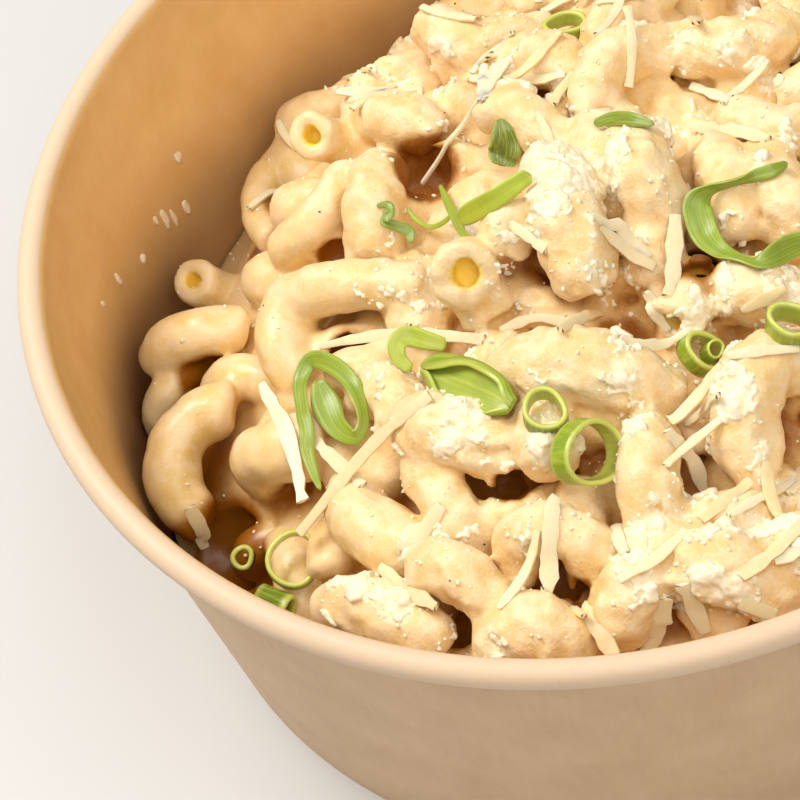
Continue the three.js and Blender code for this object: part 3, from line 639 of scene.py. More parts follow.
class Gather:
    """Joins many small closed meshes into one."""

    def __init__(self):
        self.points = []
        self.faces = []
        self.values = []
        self.count = 0

    def add(self, points, faces, value=0.0):
        self.points.append(points)
        self.faces.append(np.asarray(faces) + self.count)
        self.values.append(np.broadcast_to(value, len(points)))
        self.count += len(points)

    def piece(self, name, material, attribute=None, smooth=True):
        piece = new_piece(name, np.concatenate(self.points), np.concatenate(self.faces), material, smooth)
        if attribute:
            paint(piece, attribute, np.concatenate(self.values))
        return piece


def tube_faces(stations, around):
    """Quads between rings of points, one ring a station, with the two ends closed by strips of quads."""
    faces = []
    for i in range(stations - 1):
        for k in range(around):
            a, b = i * around + k, i * around + (k + 1) % around
            faces.append((a, b, b + around, a + around))
    last = (stations - 1) * around
    for k in range(around // 2 - 1):
        here, there = k + 1, around - 1 - k
        faces.append((k, (around - k) % around, there, here))
        faces.append((last + here, last + there, last + (around - k) % around, last + k))
    return faces


def loop_faces(stations, around, start=0):
    """Quads between sections that are joined into a closed loop."""
    faces = []
    for i in range(stations):
        here, there = start + i * around, start + (i + 1) % stations * around
        for k in range(around):
            after = (k + 1) % around
            faces.append((here + k, there + k, there + after, here + after))
    return faces


# ---------------------------------------------------------------- materials


# A Mix node's sockets for colours: factor, first and second, and its result.
MIX_INPUTS = (0, 6, 7)
MIX_RESULT = 2
NOISE_ROUGHNESS = 0.55


class Surface:
    """A material with one Principled shader, and short calls for the nodes that feed it."""

    def __init__(self, name, **sockets):
        self.material = bpy.data.materials.new(name)
        self.material.use_nodes = True
        self.tree = self.material.node_tree
        self.shader = self.tree.nodes["Principled BSDF"]
        for socket, value in sockets.items():
            self.shader.inputs[socket.replace("_", " ")].default_value = value

    def subsurface(self, radius, scale):
        """How far light goes under the surface, by colour, and by how much in millimetres."""
        self.shader.inputs["Subsurface Radius"].default_value = radius
        self.shader.inputs["Subsurface Scale"].default_value = scale * MM

    def fill(self, socket, value):
        """Gives a socket a value, or another node's output."""
        if isinstance(value, bpy.types.NodeSocket):
            self.tree.links.new(value, socket)
        else:
            socket.default_value = value

    def node(self, kind, **sockets):
        node = self.tree.nodes.new("ShaderNode" + kind)
        for name, value in sockets.items():
            self.fill(node.inputs[name.replace("_", " ")], value)
        return node

    def noise(self, scale, detail, stretch=(1, 1, 1), source="Object"):
        """Noise from 0 to 1 on the piece's own coordinates. Scale is in cells per metre."""
        coordinates = self.tree.nodes.new("ShaderNodeTexCoord").outputs[source]
        mapped = self.node("Mapping", Vector=coordinates, Scale=stretch).outputs["Vector"]
        noise = self.node("TexNoise", Vector=mapped, Scale=scale, Detail=detail, Roughness=NOISE_ROUGHNESS)
        return noise.outputs["Fac"]

    def attribute(self, name):
        node = self.tree.nodes.new("ShaderNodeAttribute")
        node.attribute_name = name
        return node.outputs["Fac"]

    def ramp(self, factor, *stops):
        """Colour by a factor. A stop is a place from 0 to 1 and a colour."""
        ramp = self.node("ValToRGB", Fac=factor)
        elements = ramp.color_ramp.elements
        while len(elements) < len(stops):
            elements.new(0.5)
        for element, (place, color) in zip(elements, stops):
            element.position = place
            element.color = (*color, 1)
        return ramp.outputs["Color"]

    def mix(self, factor, first, second):
        """The first colour turned to the second by a factor."""
        mix = self.tree.nodes.new("ShaderNodeMix")
        mix.data_type = "RGBA"
        for index, value in zip(MIX_INPUTS, (factor, first, second)):
            self.fill(mix.inputs[index], (*value, 1) if isinstance(value, tuple) else value)
        return mix.outputs[MIX_RESULT]

    def remap(self, value, low, high, to_low, to_high):
        node = self.node(
            "MapRange", Value=value, From_Min=low, From_Max=high, To_Min=to_low, To_Max=to_high)
        return node.outputs["Result"]

    def sum(self, first, second):
        node = self.tree.nodes.new("ShaderNodeMath")
        self.tree.links.new(first, node.inputs[0])
        self.tree.links.new(second, node.inputs[1])
        return node.outputs[0]

    def bump(self, height, strength, distance):
        bump = self.node("Bump", Height=height, Strength=strength, Distance=distance * MM)
        for socket in ("Normal", "Coat Normal"):
            self.tree.links.new(bump.outputs["Normal"], self.shader.inputs[socket])

    def feed(self, socket, value):
        self.tree.links.new(value, self.shader.inputs[socket])


def kraft_material():
    """Uncoated brown paper board: mottled, with short fibres and darker flecks, glazed inside."""
    surface = Surface(
        "kraft", Roughness=0.62, Coat_Weight=0.12, Coat_Roughness=0.35, Subsurface_Weight=0.08)
    surface.subsurface((1, 0.6, 0.35), 0.8)
    mottle = surface.noise(110, 4)
    fibre = surface.noise(900, 4, (1, 1, 0.16))
    fleck = surface.noise(1500, 2)
    color = surface.ramp(mottle, (0.3, (0.64, 0.42, 0.24)), (0.7, (0.72, 0.50, 0.30)))
    inner = surface.ramp(mottle, (0.3, (0.77, 0.45, 0.155)), (0.7, (0.87, 0.55, 0.22)))
    color = surface.mix(surface.attribute("inside"), color, inner)
    # Painted highlight: the rolled rim paler, for its lit top.
    color = surface.mix(surface.attribute("roll"), color, (0.75, 0.555, 0.38))
    color = surface.mix(surface.remap(fibre, 0.35, 0.75, 0, 0.16), color, (0.86, 0.64, 0.40))
    color = surface.mix(surface.remap(fleck, 0.68, 0.8, 0, 0.25), color, (0.42, 0.24, 0.11))
    # Soak of sauce and painted shade: the inside wall near and under the food's level turns deep brown,
    # most of all on the left.
    color = surface.mix(surface.attribute("soak_and_shade"), color, (0.10, 0.028, 0.003))
    surface.feed("Base Color", color)
    surface.bump(surface.mix(0.4, fibre, mottle), 0.12, 0.1)
    return surface.material


def macaroni_material():
    """Cooked pasta under cheese sauce: yellow where bare, creamy and mottled where the sauce is thick."""
    surface = Surface("macaroni", Specular_IOR_Level=0.45, Coat_Weight=0.12, Coat_Roughness=0.22)
    surface.subsurface((0.7, 0.5, 0.25), 1.3)
    depth = surface.attribute("depth")
    paste = surface.attribute("paste")
    patches = surface.noise(160, 3)
    lumps = surface.noise(420, 3)
    grain = surface.noise(1100, 4)
    specks = surface.noise(2300, 2)
    crease_shade_ridge_light = surface.attribute("crease_shade_ridge_light")
    mottle = surface.mix(0.5, patches, lumps)
    bare = surface.ramp(surface.attribute("tint"), (0, (0.78, 0.54, 0.17)), (1, (0.84, 0.63, 0.27)))
    thin = surface.mix(surface.remap(mottle, 0.44, 0.56, 0, 0.85), bare, (0.88, 0.67, 0.39))
    thick = surface.ramp(mottle, (0.43, (0.87, 0.59, 0.24)), (0.57, (0.95, 0.715, 0.42)))
    color = surface.mix(paste, thin, thick)
    color = surface.mix(surface.attribute("sauce"), color, (0.88, 0.65, 0.36))
    # Painted light on ridges, where little of the cube is filled, and painted shade, golden brown, in the
    # creases.
    color = surface.mix(surface.remap(crease_shade_ridge_light, 0.47, 0.32, 0, 0.55), color, (0.98, 0.77, 0.48))
    color = surface.mix(surface.remap(crease_shade_ridge_light, 0.5, 0.72, 0, 0.75), color, (0.79, 0.52, 0.185))
    fine = surface.mix(0.5, lumps, grain)
    curd = surface.remap(surface.sum(surface.attribute("curd"), fine), 0.86, 1, 0, 1)
    color = surface.mix(curd, color, (0.95, 0.79, 0.52))
    color = surface.mix(surface.remap(specks, 0.6, 0.72, 0, 0.4), color, (0.97, 0.86, 0.64))
    # Painted shade: the deep gaps turn brown, darkest at the bottom.
    shade = surface.ramp(
        depth, (0.1, (0.80, 0.53, 0.20)), (0.5, (0.58, 0.30, 0.045)), (1, (0.34, 0.11, 0.005)))
    color = surface.mix(depth, color, shade)
    # Inside the open ends: bare yellow pasta, painted brighter as painted light shining through the wall.
    color = surface.mix(surface.attribute("bore"), color, (1, 0.71, 0.09))
    surface.feed("Base Color", color)
    surface.feed("Subsurface Weight", surface.remap(depth, 0, 0.4, 0.35, 0.02))
    surface.feed("Roughness", surface.remap(paste, 0, 1, 0.34, 0.55))
    surface.bump(surface.mix(0.3, fine, specks), surface.remap(paste, 0, 1, 0.15, 0.6), 0.6)
    return surface.material


def curd_material():
    """Melted grated cheese: whitish on its lumps, creamy between them."""
    surface = Surface("curd", Roughness=0.6, Specular_IOR_Level=0.4)
    grain = surface.noise(1900, 3)
    color = surface.ramp(surface.attribute("lump"), (0.1, (0.93, 0.70, 0.38)), (0.6, (0.97, 0.845, 0.61)))
    color = surface.mix(surface.remap(grain, 0.5, 0.7, 0, 0.5), color, (0.98, 0.91, 0.74))
    surface.feed("Base Color", color)
    surface.bump(grain, 0.5, 0.25)
    return surface.material


def cheese_material():
    """Shredded hard cheese: waxy, from cream to a translucent yellow."""
    surface = Surface("cheese", Roughness=0.42, Subsurface_Weight=0.6, Specular_IOR_Level=0.45)
    surface.subsurface((1, 0.7, 0.35), 1.2)
    tone = surface.ramp(surface.attribute("tone"), (0, (0.95, 0.80, 0.56)), (1, (0.87, 0.66, 0.36)))
    grain = surface.noise(1400, 3)
    color = surface.mix(surface.remap(grain, 0.4, 0.7, 0, 0.3), tone, (0.96, 0.85, 0.63))
    surface.feed("Base Color", color)
    surface.bump(grain, 0.3, 0.15)
    return surface.material


def scallion_material():
    """Spring onion: green skin with fine veins along the leaf, paler inside and at the cuts."""
    surface = Surface(
        "scallion", Roughness=0.38, Subsurface_Weight=0.25, Coat_Weight=0.3, Coat_Roughness=0.16)
    surface.subsurface((0.5, 1, 0.2), 1.0)
    veins = surface.noise(46, 2, (1, 0.05, 1), "UV")
    blotch = surface.noise(260, 2)
    skin = surface.ramp(
        surface.attribute("tone"),
        (0, (0.06, 0.115, 0.006)), (0.5, (0.18, 0.29, 0.008)), (1, (0.43, 0.51, 0.025)))
    skin = surface.mix(surface.remap(veins, 0.46, 0.64, 0, 0.5), skin, (0.56, 0.60, 0.09))
    skin = surface.mix(surface.remap(blotch, 0.5, 0.8, 0, 0.35), skin, (0.10, 0.21, 0.012))
    surface.feed("Base Color", surface.mix(surface.attribute("flesh"), skin, (0.64, 0.66, 0.15)))
    surface.bump(veins, 0.35, 0.12)
    return surface.material


def pepper_material():
    """Cracked black pepper."""
    surface = Surface("pepper", Roughness=0.6)
    color = surface.ramp(surface.noise(900, 2), (0.4, (0.02, 0.012, 0.008)), (0.7, (0.12, 0.07, 0.04)))
    surface.feed("Base Color", color)
    return surface.material


def splash_material():
    """Dried drops of the cheese sauce."""
    surface = Surface("sauce", Roughness=0.35, Subsurface_Weight=0.4, Coat_Weight=0.2)
    surface.subsurface((1, 0.6, 0.3), 0.8)
    color = surface.ramp(surface.noise(700, 2), (0.3, (0.86, 0.64, 0.40)), (0.7, (0.93, 0.78, 0.58)))
    surface.feed("Base Color", color)
    return surface.material


def floor_material():
    """The plain pale ground that the bowl stands on."""
    surface = Surface("floor", Roughness=0.6)
    color = surface.ramp(surface.noise(6, 2), (0.3, (0.62, 0.615, 0.61)), (0.7, (0.65, 0.645, 0.64)))
    surface.feed("Base Color", color)
    return surface.material


# ---------------------------------------------------------------- bowl

ROLL_RADIUS = RIM_RADIUS - ROLL_HALF_WIDTH
ROLL_HEIGHT = BOWL_HEIGHT - ROLL_HALF_HEIGHT
INNER_TOP_RADIUS = RIM_RADIUS - 2 * ROLL_HALF_WIDTH
WALL_SLOPE = (INNER_TOP_RADIUS + PAPER - FOOT_RADIUS) / ROLL_HEIGHT
BASE_TOP = BASE_RISE + PAPER


def outer_radius(height):
    return FOOT_RADIUS + WALL_SLOPE * height


def inner_radius(height):
    return outer_radius(height) - PAPER


def along(start, end, steps):
    """Points of a straight stretch, without its end."""
    return [tuple(np.add(start, np.subtract(end, start) * i / steps)) for i in range(steps)]


def lathe(name, profile, material):
    """A closed profile of (radius, height) turned about the bowl's axis, with the wall's seam."""
    profile = np.array(profile)
    azimuth = np.linspace(0, 2 * math.pi, BOWL_SIDES, endpoint=False)
    seam = np.degrees(azimuth) - SEAM_AZIMUTH
    overlap = plateau(seam, *SEAM_LAP)
    on_wall = plateau(profile[:, 1], *SEAM_HEIGHTS)
    is_outside = profile[:, 0] > inner_radius(profile[:, 1]) + PAPER / 2
    radius = profile[:, 0] + np.outer(overlap, on_wall * np.where(is_outside, SEAM_STEP, 0))
    points = np.stack([
        radius * np.cos(azimuth)[:, None],
        radius * np.sin(azimuth)[:, None],
        np.broadcast_to(profile[:, 1], radius.shape),
    ], axis=2).reshape(-1, 3)
    count = len(profile)
    piece = new_piece(name, points, loop_faces(BOWL_SIDES, count), material)
    height = np.tile(profile[:, 1], BOWL_SIDES)
    inside = np.tile(~is_outside, BOWL_SIDES)
    level = np.repeat(wall_level(np.degrees(azimuth)), count)
    paint(piece, "inside", inside)
    # The rolled rim's painted highlight, by height on the outside.
    paint(piece, "roll", ~inside * smoothstep(height, *ROLL_PAINTED_HIGHLIGHT))
    # Soak of sauce and painted shade, dark from the food's level up, strongest round one azimuth.
    turned = np.abs(np.repeat(np.degrees(azimuth), count) - SOAK_AND_SHADE_AZIMUTH)
    reach = 1 - (1 - SOAK_AND_SHADE_ELSEWHERE) * smoothstep(turned, *SOAK_AND_SHADE_SPREAD)
    paint(piece, "soak_and_shade", SOAK_AND_SHADE * inside * reach * (1 - smoothstep(height - level, *SOAK_AND_SHADE_RISE)))
    return piece


def make_bowl(material):
    """The wall with its rolled rim and folded hem, and the recessed base with its skirt."""
    roll = []
    for i in range(ROLL_STEPS + 1):
        angle = math.radians(-90 + 270 * i / ROLL_STEPS)
        radius = ROLL_RADIUS + ROLL_HALF_WIDTH * math.cos(angle)
        roll.append((radius, ROLL_HEIGHT + ROLL_HALF_HEIGHT * math.sin(angle)))
    under_roll = roll[0][1]
    foot = inner_radius(PAPER)
    hem = foot - 2 * CLEARANCE - SKIRT
    wall = lathe("paper_bowl", [
        *along((FOOT_RADIUS, 0), (outer_radius(under_roll), under_roll), WALL_STEPS),
        (outer_radius(under_roll), under_roll), *roll,
        *along((INNER_TOP_RADIUS, ROLL_HEIGHT - ROLL_LIP), (foot, PAPER), WALL_STEPS), (foot, PAPER),
        (hem, PAPER), (hem, HEM_HEIGHT), (hem - PAPER, HEM_HEIGHT), (hem - PAPER, 0),
    ], material)
    skirt_foot = PAPER + CLEARANCE
    skirt = inner_radius(skirt_foot) - CLEARANCE
    edge = inner_radius(BASE_TOP) - CLEARANCE
    base = lathe("paper_base", [
        (AXIS_GAP, BASE_RISE), (skirt - SKIRT, BASE_RISE), (skirt - SKIRT, skirt_foot), (skirt, skirt_foot),
        (edge, BASE_TOP), (AXIS_GAP, BASE_TOP),
    ], material)
    for piece, node in ((wall, "bowl_wall"), (base, "bowl_base")):
        mark_sharp(piece, SHARP_ANGLE)
        attach(piece, node)


def make_splashes(material):
    """Drops of sauce on the inside of the wall."""
    gather = Gather()
    ball, faces = sphere(16, 9)
    for index, (azimuth, height, length, width) in enumerate(SPLASHES):
        angle = math.radians(azimuth)
        down = Vector((-WALL_SLOPE * math.cos(angle), -WALL_SLOPE * math.sin(angle), -1)).normalized()
        side = Vector((-math.sin(angle), math.cos(angle), 0))
        inward = side.cross(down).normalized()
        if inward.dot(Vector((math.cos(angle), math.sin(angle), 0))) > 0:
            inward.negate()
        radius = inner_radius(height)
        centre = Vector((radius * math.cos(angle), radius * math.sin(angle), height))
        bend = value_noise(ball * 1.4 + index * 7, 1, seed=4)[:, None]
        shape = ball * (1 + SPLASH_UNEVENNESS * bend)
        axes = np.array([down * length, side * width, inward * SPLASH_THICKNESS])
        gather.add(np.array(centre) + shape @ axes, faces)
    attach(gather.piece("sauce_splashes", material))


def sphere(around, rows):
    """A ball of radius 1 as points and triangles."""
    points = [(0, 0, -1)]
    for i in range(1, rows):
        level = -math.pi / 2 + math.pi * i / rows
        for k in range(around):
            turn = 2 * math.pi * k / around
            reach = math.cos(level)
            points.append((reach * math.cos(turn), reach * math.sin(turn), math.sin(level)))
    points.append((0, 0, 1))
    top = len(points) - 1
    faces = []
    for k in range(around):
        after = (k + 1) % around
        faces.append((0, 1 + after, 1 + k))
        faces.append((top, top - around + k, top - around + after))
        for i in range(rows - 2):
            a, b = 1 + i * around + k, 1 + i * around + after
            faces.append((a, b, b + around))
            faces.append((a, b + around, a + around))
    return np.array(points), np.array(faces)


# ---------------------------------------------------------------- core and macaroni


def wall_level(azimuth):
    """Level of the core at the wall, by azimuth in degrees."""
    azimuth = np.mod(azimuth, 360)
    level = np.zeros_like(azimuth)
    for (start, low), (end, high) in zip(WALL_LEVELS, WALL_LEVELS[1:]):
        inside = (azimuth >= start) & (azimuth <= end)
        level = np.where(inside, low + (high - low) * smoothstep(azimuth, start, end), level)
    return level


def core_height(x, y):
    """Height of the core's top: a dome from the crown down to the level at the wall."""
    dx, dy = x - CROWN[0], y - CROWN[1]
    away = np.maximum(np.hypot(dx, dy), 1e-6)
    toward = (CROWN[0] * dx + CROWN[1] * dy) / away
    reach = np.sqrt(toward ** 2 - CROWN[0] ** 2 - CROWN[1] ** 2 + LEVEL_RADIUS ** 2) - toward
    wall_x, wall_y = CROWN[0] + dx / away * reach, CROWN[1] + dy / away * reach
    level = wall_level(np.degrees(np.arctan2(wall_y, wall_x)))
    return CROWN_LEVEL + (level - CROWN_LEVEL) * (away / reach) ** DOME_POWER


class Elbow:
    """One macaroni: an arc through three points, its width, and whether its ends show open."""

    def __init__(self, start, middle, end, across, is_open=False):
        self.points = [np.array(point, float) for point in (start, middle, end)]
        self.across = across
        self.is_open = is_open
        to_middle = self.points[1] - self.points[0]
        to_end = self.points[2] - self.points[0]
        normal = np.cross(to_middle, to_end)
        to_centre = np.cross(to_end, normal) * to_middle.dot(to_middle)
        to_centre = to_centre + np.cross(normal, to_middle) * to_end.dot(to_end)
        to_centre = to_centre / (2 * normal.dot(normal))
        self.centre = self.points[0] + to_centre
        self.bend = np.linalg.norm(to_centre)
        self.out = -to_centre / self.bend
        self.off = normal / np.linalg.norm(normal)
        self.ahead = np.cross(self.off, self.out)
        spoke = self.points[2] - self.centre
        self.sweep = math.atan2(spoke.dot(self.ahead), spoke.dot(self.out)) % (2 * math.pi)

    def point(self, part):
        angle = self.sweep * part
        return self.centre + self.bend * (self.out * math.cos(angle) + self.ahead * math.sin(angle))

    def place(self, x, y, z):
        """How far points are from the middle line, how far past the nearer end, and their angle."""
        x, y, z = x - self.centre[0], y - self.centre[1], z - self.centre[2]
        axes = (self.out, self.ahead, self.off)
        out, ahead, off = (x * axis[0] + y * axis[1] + z * axis[2] for axis in axes)
        flat = np.hypot(out, ahead)
        angle = np.arctan2(ahead, out) - self.sweep / 2
        angle = (angle + math.pi) % (2 * math.pi) - math.pi
        return np.hypot(flat - self.bend, off), flat * (np.abs(angle) - self.sweep / 2), angle

    def bore_light_at(self, points):
        """How much points belong to the inside of an open end, from 0 to 1, which gets bare pasta colour
        with painted light.
        """
        section, past_end, _ = self.place(*points.T)
        radius = BORE_RATIO * self.across / 2
        outside = smoothstep(section, radius, radius + BORE_EDGE)
        return (1 - outside) * (1 - smoothstep(past_end, *BORE_MOUTH))

    def distance(self, x, y, z, tint):
        """Signed distance of points to the tube, with its bore as far as it is open."""
        section, past_end, angle = self.place(x, y, z)
        radius = self.across / 2 * (1 + SWELL * np.sin(SWELL_WAVES * angle + SWELL_SHIFT * tint))
        rounding = CUT_ROUNDING if self.is_open else HIDDEN_ROUNDING * self.across
        side, cut = section - radius + rounding, past_end + rounding
        outer = np.hypot(np.maximum(side, 0), np.maximum(cut, 0)) - rounding
        outer = outer + np.minimum(np.maximum(side, cut), 0)
        if not self.is_open:
            return outer
        bore = np.maximum(section - BORE_RATIO * self.across / 2, -(past_end + OPEN_DEPTH))
        return -smooth_min(-outer, bore, BORE_FILLET)[0]


def smooth_min(first, second, fillet):
    """Lesser of two distances with a rounded meeting, and how far it is the second one."""
    share = np.clip(0.5 + 0.5 * (first - second) / fillet, 0, 1)
    return first + (second - first) * share - fillet * share * (1 - share), share


def drawn_elbow(x, y, draw, lift):
    """An elbow of drawn size and attitude, with the middle of its bend over the point x, y."""
    bend, sweep, across = (between(limits, next(draw)) for limits in (BEND_RADIUS, HALF_SWEEP, ACROSS))
    heading = 2 * math.pi * next(draw)
    tilt = between(TILT, next(draw))
    middle = np.array((x, y, float(core_height(x, y)) + between(lift, next(draw))))
    level = math.cos(tilt)
    bulge = np.array((level * math.cos(heading), level * math.sin(heading), math.sin(tilt)))
    side = np.array((-math.sin(heading), math.cos(heading), 0))
    back = middle + bulge * bend * (math.cos(sweep) - 1)
    start, end = (back + side * turn * bend * math.sin(sweep) for turn in (-1, 1))
    return Elbow(start, middle, end, across, next(draw) < DRAWN_OPEN)


def is_unplaced(x, y):
    """The back and the right of the heap, which the picture cuts off."""
    return y + BACK_SLOPE * x > BACK_OFFSET or x + RIGHT_SLOPE * y > RIGHT_OFFSET


def is_sunk(x, y):
    """All but the low left side, which shows the bare wall and dark gaps."""
    return x > SUNK_FROM_X or y < SUNK_BELOW_Y


def draw_elbows(seed, tries, others, spacing, lift, wanted):
    """Adds elbows at drawn places, clear of the ones before them and of the wall."""
    draw = seeded_draws(seed)
    added = []
    for _ in range(tries):
        radius = SPREAD_RADIUS * math.sqrt(next(draw))
        azimuth = 2 * math.pi * next(draw)
        x, y = radius * math.cos(azimuth), radius * math.sin(azimuth)
        elbow = drawn_elbow(x, y, draw, lift)
        if not wanted(x, y):
            continue
        marks = np.array([point for other in others + added for point in other.points]).reshape(-1, 3)
        is_clear = (np.linalg.norm(marks - elbow.points[1], axis=1) > spacing).all()
        is_inside = all(
            math.hypot(point[0], point[1]) + elbow.across / 2 < inner_radius(min(point[2], ROLL_HEIGHT))
            for point in elbow.points)
        if is_clear and is_inside:
            added.append(elbow)
    return added


class Field:
    """Signed distance to the heap on a grid of voxels, with what the material needs to know."""

    def __init__(self):
        self.axes = [np.arange(low, high, VOXEL) for low, high in zip(FIELD_LOW, FIELD_HIGH)]
        self.x, self.y, self.z = np.meshgrid(*self.axes, indexing="ij", sparse=True)
        top = core_height(self.x[..., 0], self.y[..., 0])[..., None] - CORE_DROP
        self.distance = ((self.z - top) * CORE_STEEPNESS).astype(np.float32)
        self.tint = np.full(self.distance.shape, 0.5, np.float32)
        self.sauce = np.full(self.distance.shape, 1, np.float32)

    def box(self, low, high):
        """Slices of the grid that hold everything between two corners."""
        first = np.maximum(np.floor(np.subtract(low, FIELD_LOW) / VOXEL), 0).astype(int)
        last = np.ceil(np.subtract(high, FIELD_LOW) / VOXEL).astype(int) + 1
        return tuple(slice(a, b) for a, b in zip(first, last))

    def add(self, elbow, tint, fillet):
        spine = np.array([elbow.point(part) for part in np.linspace(0, 1, 9)])
        margin = elbow.across / 2 + BAND + fillet
        box = self.box(spine.min(0) - margin, spine.max(0) + margin)
        x, y, z = self.x[box[0]], self.y[:, box[1]], self.z[:, :, box[2]]
        distance, share = smooth_min(self.distance[box], elbow.distance(x, y, z, tint), fillet)
        self.distance[box] = distance
        self.tint[box] += (tint - self.tint[box]) * share
        self.sauce[box] = np.maximum(self.sauce[box] * (1 - share), 4 * share * (1 - share))

    def hollow(self, centre, radius):
        """Takes a ball out of what has been added so far."""
        reach = radius + SAUCE_FILLET
        box = self.box(np.subtract(centre, reach), np.add(centre, reach))
        x, y, z = self.x[box[0]], self.y[:, box[1]], self.z[:, :, box[2]]
        away = np.sqrt((x - centre[0]) ** 2 + (y - centre[1]) ** 2 + (z - centre[2]) ** 2)
        self.distance[box] = -smooth_min(-self.distance[box], away - radius, SAUCE_FILLET)[0]

    def roughen(self):
        """Uneven sauce everywhere, and lumps where the cheese has curdled."""
        near = np.nonzero(np.abs(self.distance) < BAND + 1)
        points = np.stack([axis[index] for axis, index in zip(self.axes, near)], axis=1)
        curd = curd_at(points)
        paste = LEAST_RELIEF + PASTE_RELIEF * paste_at(points)
        shift = np.zeros(len(points))
        for seed, (height, size) in enumerate(RELIEF):
            shift += paste * height * value_noise(points, size, seed)
        rough = np.nonzero(curd > 0.01)[0]
        for seed, (height, size) in enumerate(CURD_RELIEF):
            lump = value_noise(points[rough], size, 20 + seed) - CURD_RELIEF_SINK
            shift[rough] += height * curd[rough] * lump
        self.distance[near] += shift

    def trim(self):
        """Keeps the heap inside the bowl and above its base."""
        floor = BASE_TOP + CLEARANCE
        away = np.hypot(self.x, self.y)
        wall = away - np.minimum(inner_radius(self.z), INNER_TOP_RADIUS) + CLEARANCE
        np.maximum(self.distance, np.maximum(wall, floor - self.z), out=self.distance)

    def sample(self, values, points):
        """A grid's value at points, between its voxels."""
        place = (points - FIELD_LOW) / VOXEL
        base = np.clip(np.floor(place).astype(int), 0, np.array(values.shape) - 2)
        part = place - base
        total = np.zeros(len(points))
        for corner in np.ndindex(2, 2, 2):
            weight = np.prod(np.where(corner, part, 1 - part), axis=1)
            total += values[tuple((base + corner).T)] * weight
        return total

    def depth(self, points):
        """How deep points lie in the gaps of the heap, from 0 to 1, for the painted shade there."""
        solid = self.distance < 0
        top = self.axes[2][solid.shape[2] - 1 - np.argmax(solid[:, :, ::-1], axis=2)]
        top = np.where(solid.any(axis=2), top, FIELD_LOW[2])
        width = int(DEPTH_REACH / VOXEL)
        kernel = np.ones(2 * width + 1) / (2 * width + 1)
        for axis in (0, 1):
            top = np.apply_along_axis(np.convolve, axis, top, kernel, "same")
        index = np.clip(((points[:, :2] - FIELD_LOW[:2]) / VOXEL).astype(int), 0, np.array(top.shape) - 1)
        return smoothstep(top[tuple(index.T)] - points[:, 2], *DEPTH_RANGE)

    def crowding(self, points):
        """Share of a small cube round each point that is filled: half on a flat, more in a crease."""
        share = (self.distance < 0).astype(np.float32)
        for axis in range(3):
            total = np.cumsum(share, axis=axis)
            ahead, behind = np.roll(total, -CROWD_REACH, axis), np.roll(total, CROWD_REACH + 1, axis)
            share = (ahead - behind) / (2 * CROWD_REACH + 1)
        return self.sample(share, points)

    def mesh(self):
        """Triangles of the surface, as (points, triangles) with the faces pointing out."""
        grid = openvdb.FloatGrid(BAND)
        grid.copyFromArray(np.clip(self.distance, -BAND, BAND))
        grid.transform = openvdb.createLinearTransform(VOXEL)
        points, triangles, quads = grid.convertToPolygons()
        triangles = np.concatenate([triangles, quads[:, [0, 1, 2]], quads[:, [0, 2, 3]]]).astype(np.int64)
        points = points.astype(float)
        corners = points[triangles]
        volume = np.einsum("ij,ij->", corners[:, 0], np.cross(corners[:, 1], corners[:, 2]))
        if volume < 0:
            triangles = triangles[:, ::-1]
        return largest_body(points + FIELD_LOW, triangles)


def largest_body(points, triangles):
    """Drops every loose scrap."""
    label = np.arange(len(points))
    while True:
        least = label[triangles].min(axis=1)
        merged = label.copy()
        for corner in range(3):
            np.minimum.at(merged, triangles[:, corner], least)
        merged = merged[merged]
        if (merged == label).all():
            break
        label = merged
    is_largest = label == np.bincount(label).argmax()
    used, triangles = renumber(triangles[is_largest[triangles[:, 0]]])
    return points[used], triangles


def renumber(triangles):
    """The points that triangles use, and the triangles counted in those."""
    used, index = np.unique(triangles, return_inverse=True)
    return used, index.reshape(-1, 3)


def curd_at(points):
    """How much curdled cheese there is at points, from 0 to 1."""
    curd = np.zeros(len(points))
    for centre, radius in CURDS:
        away = np.linalg.norm(points - centre, axis=1) / radius
        curd = np.maximum(curd, 1 - smoothstep(away, CURD_CORE, 1))
    patch = smoothstep(value_noise(points, CURD_PATCH_SIZE, seed=50), *CURD_PATCH_EDGE)
    spread = smoothstep(value_noise(points, LOOSE_SIZE, seed=51), *LOOSE_EDGE)
    loose = CURD_LOOSE * paste_at(points) * spread
    return np.maximum(curd * patch, loose) * (1 - gap_at(points))


def paste_at(points):
    """How thickly the sauce clings: thin on the left, a coarse paste elsewhere, from 0 to 1."""
    drift = PASTE_DRIFT * value_noise(points, PASTE_DRIFT_SIZE, seed=52)
    return smoothstep(points[:, 0] + drift, *PASTE_EDGE)


def gap_at(points):
    """How much of a hollow there is at points, from 0 to 1, to be darkened with painted shade."""
    gap = np.zeros(len(points))
    for centre, radius in GAPS + NOTCHES:
        away = np.linalg.norm(points - centre, axis=1) / radius
        gap = np.maximum(gap, 1 - smoothstep(away, *GAP_EDGE))
    return gap


def fill_field():
    """The whole heap as a field, and the elbows in its top layer."""
    placed = [Elbow(*row) for row in ELBOWS]
    drawn = draw_elbows(SEED, DRAWS, placed, SPACING, CROWN_LIFT, is_unplaced)
    sunk = draw_elbows(SUNK_SEED, SUNK_DRAWS, [], SUNK_SPACING, SUNK_LIFT, is_sunk)
    field = Field()
    tints = seeded_draws(1)
    for elbow in sunk:
        field.add(elbow, next(tints), CORE_FILLET)
    for centre, radius in GAPS:
        field.hollow(centre, radius)
    for elbow in drawn + placed:
        field.add(elbow, next(tints), SAUCE_FILLET)
    for centre, radius in NOTCHES:
        field.hollow(centre, radius)
    field.roughen()
    field.trim()
    return field, drawn + placed


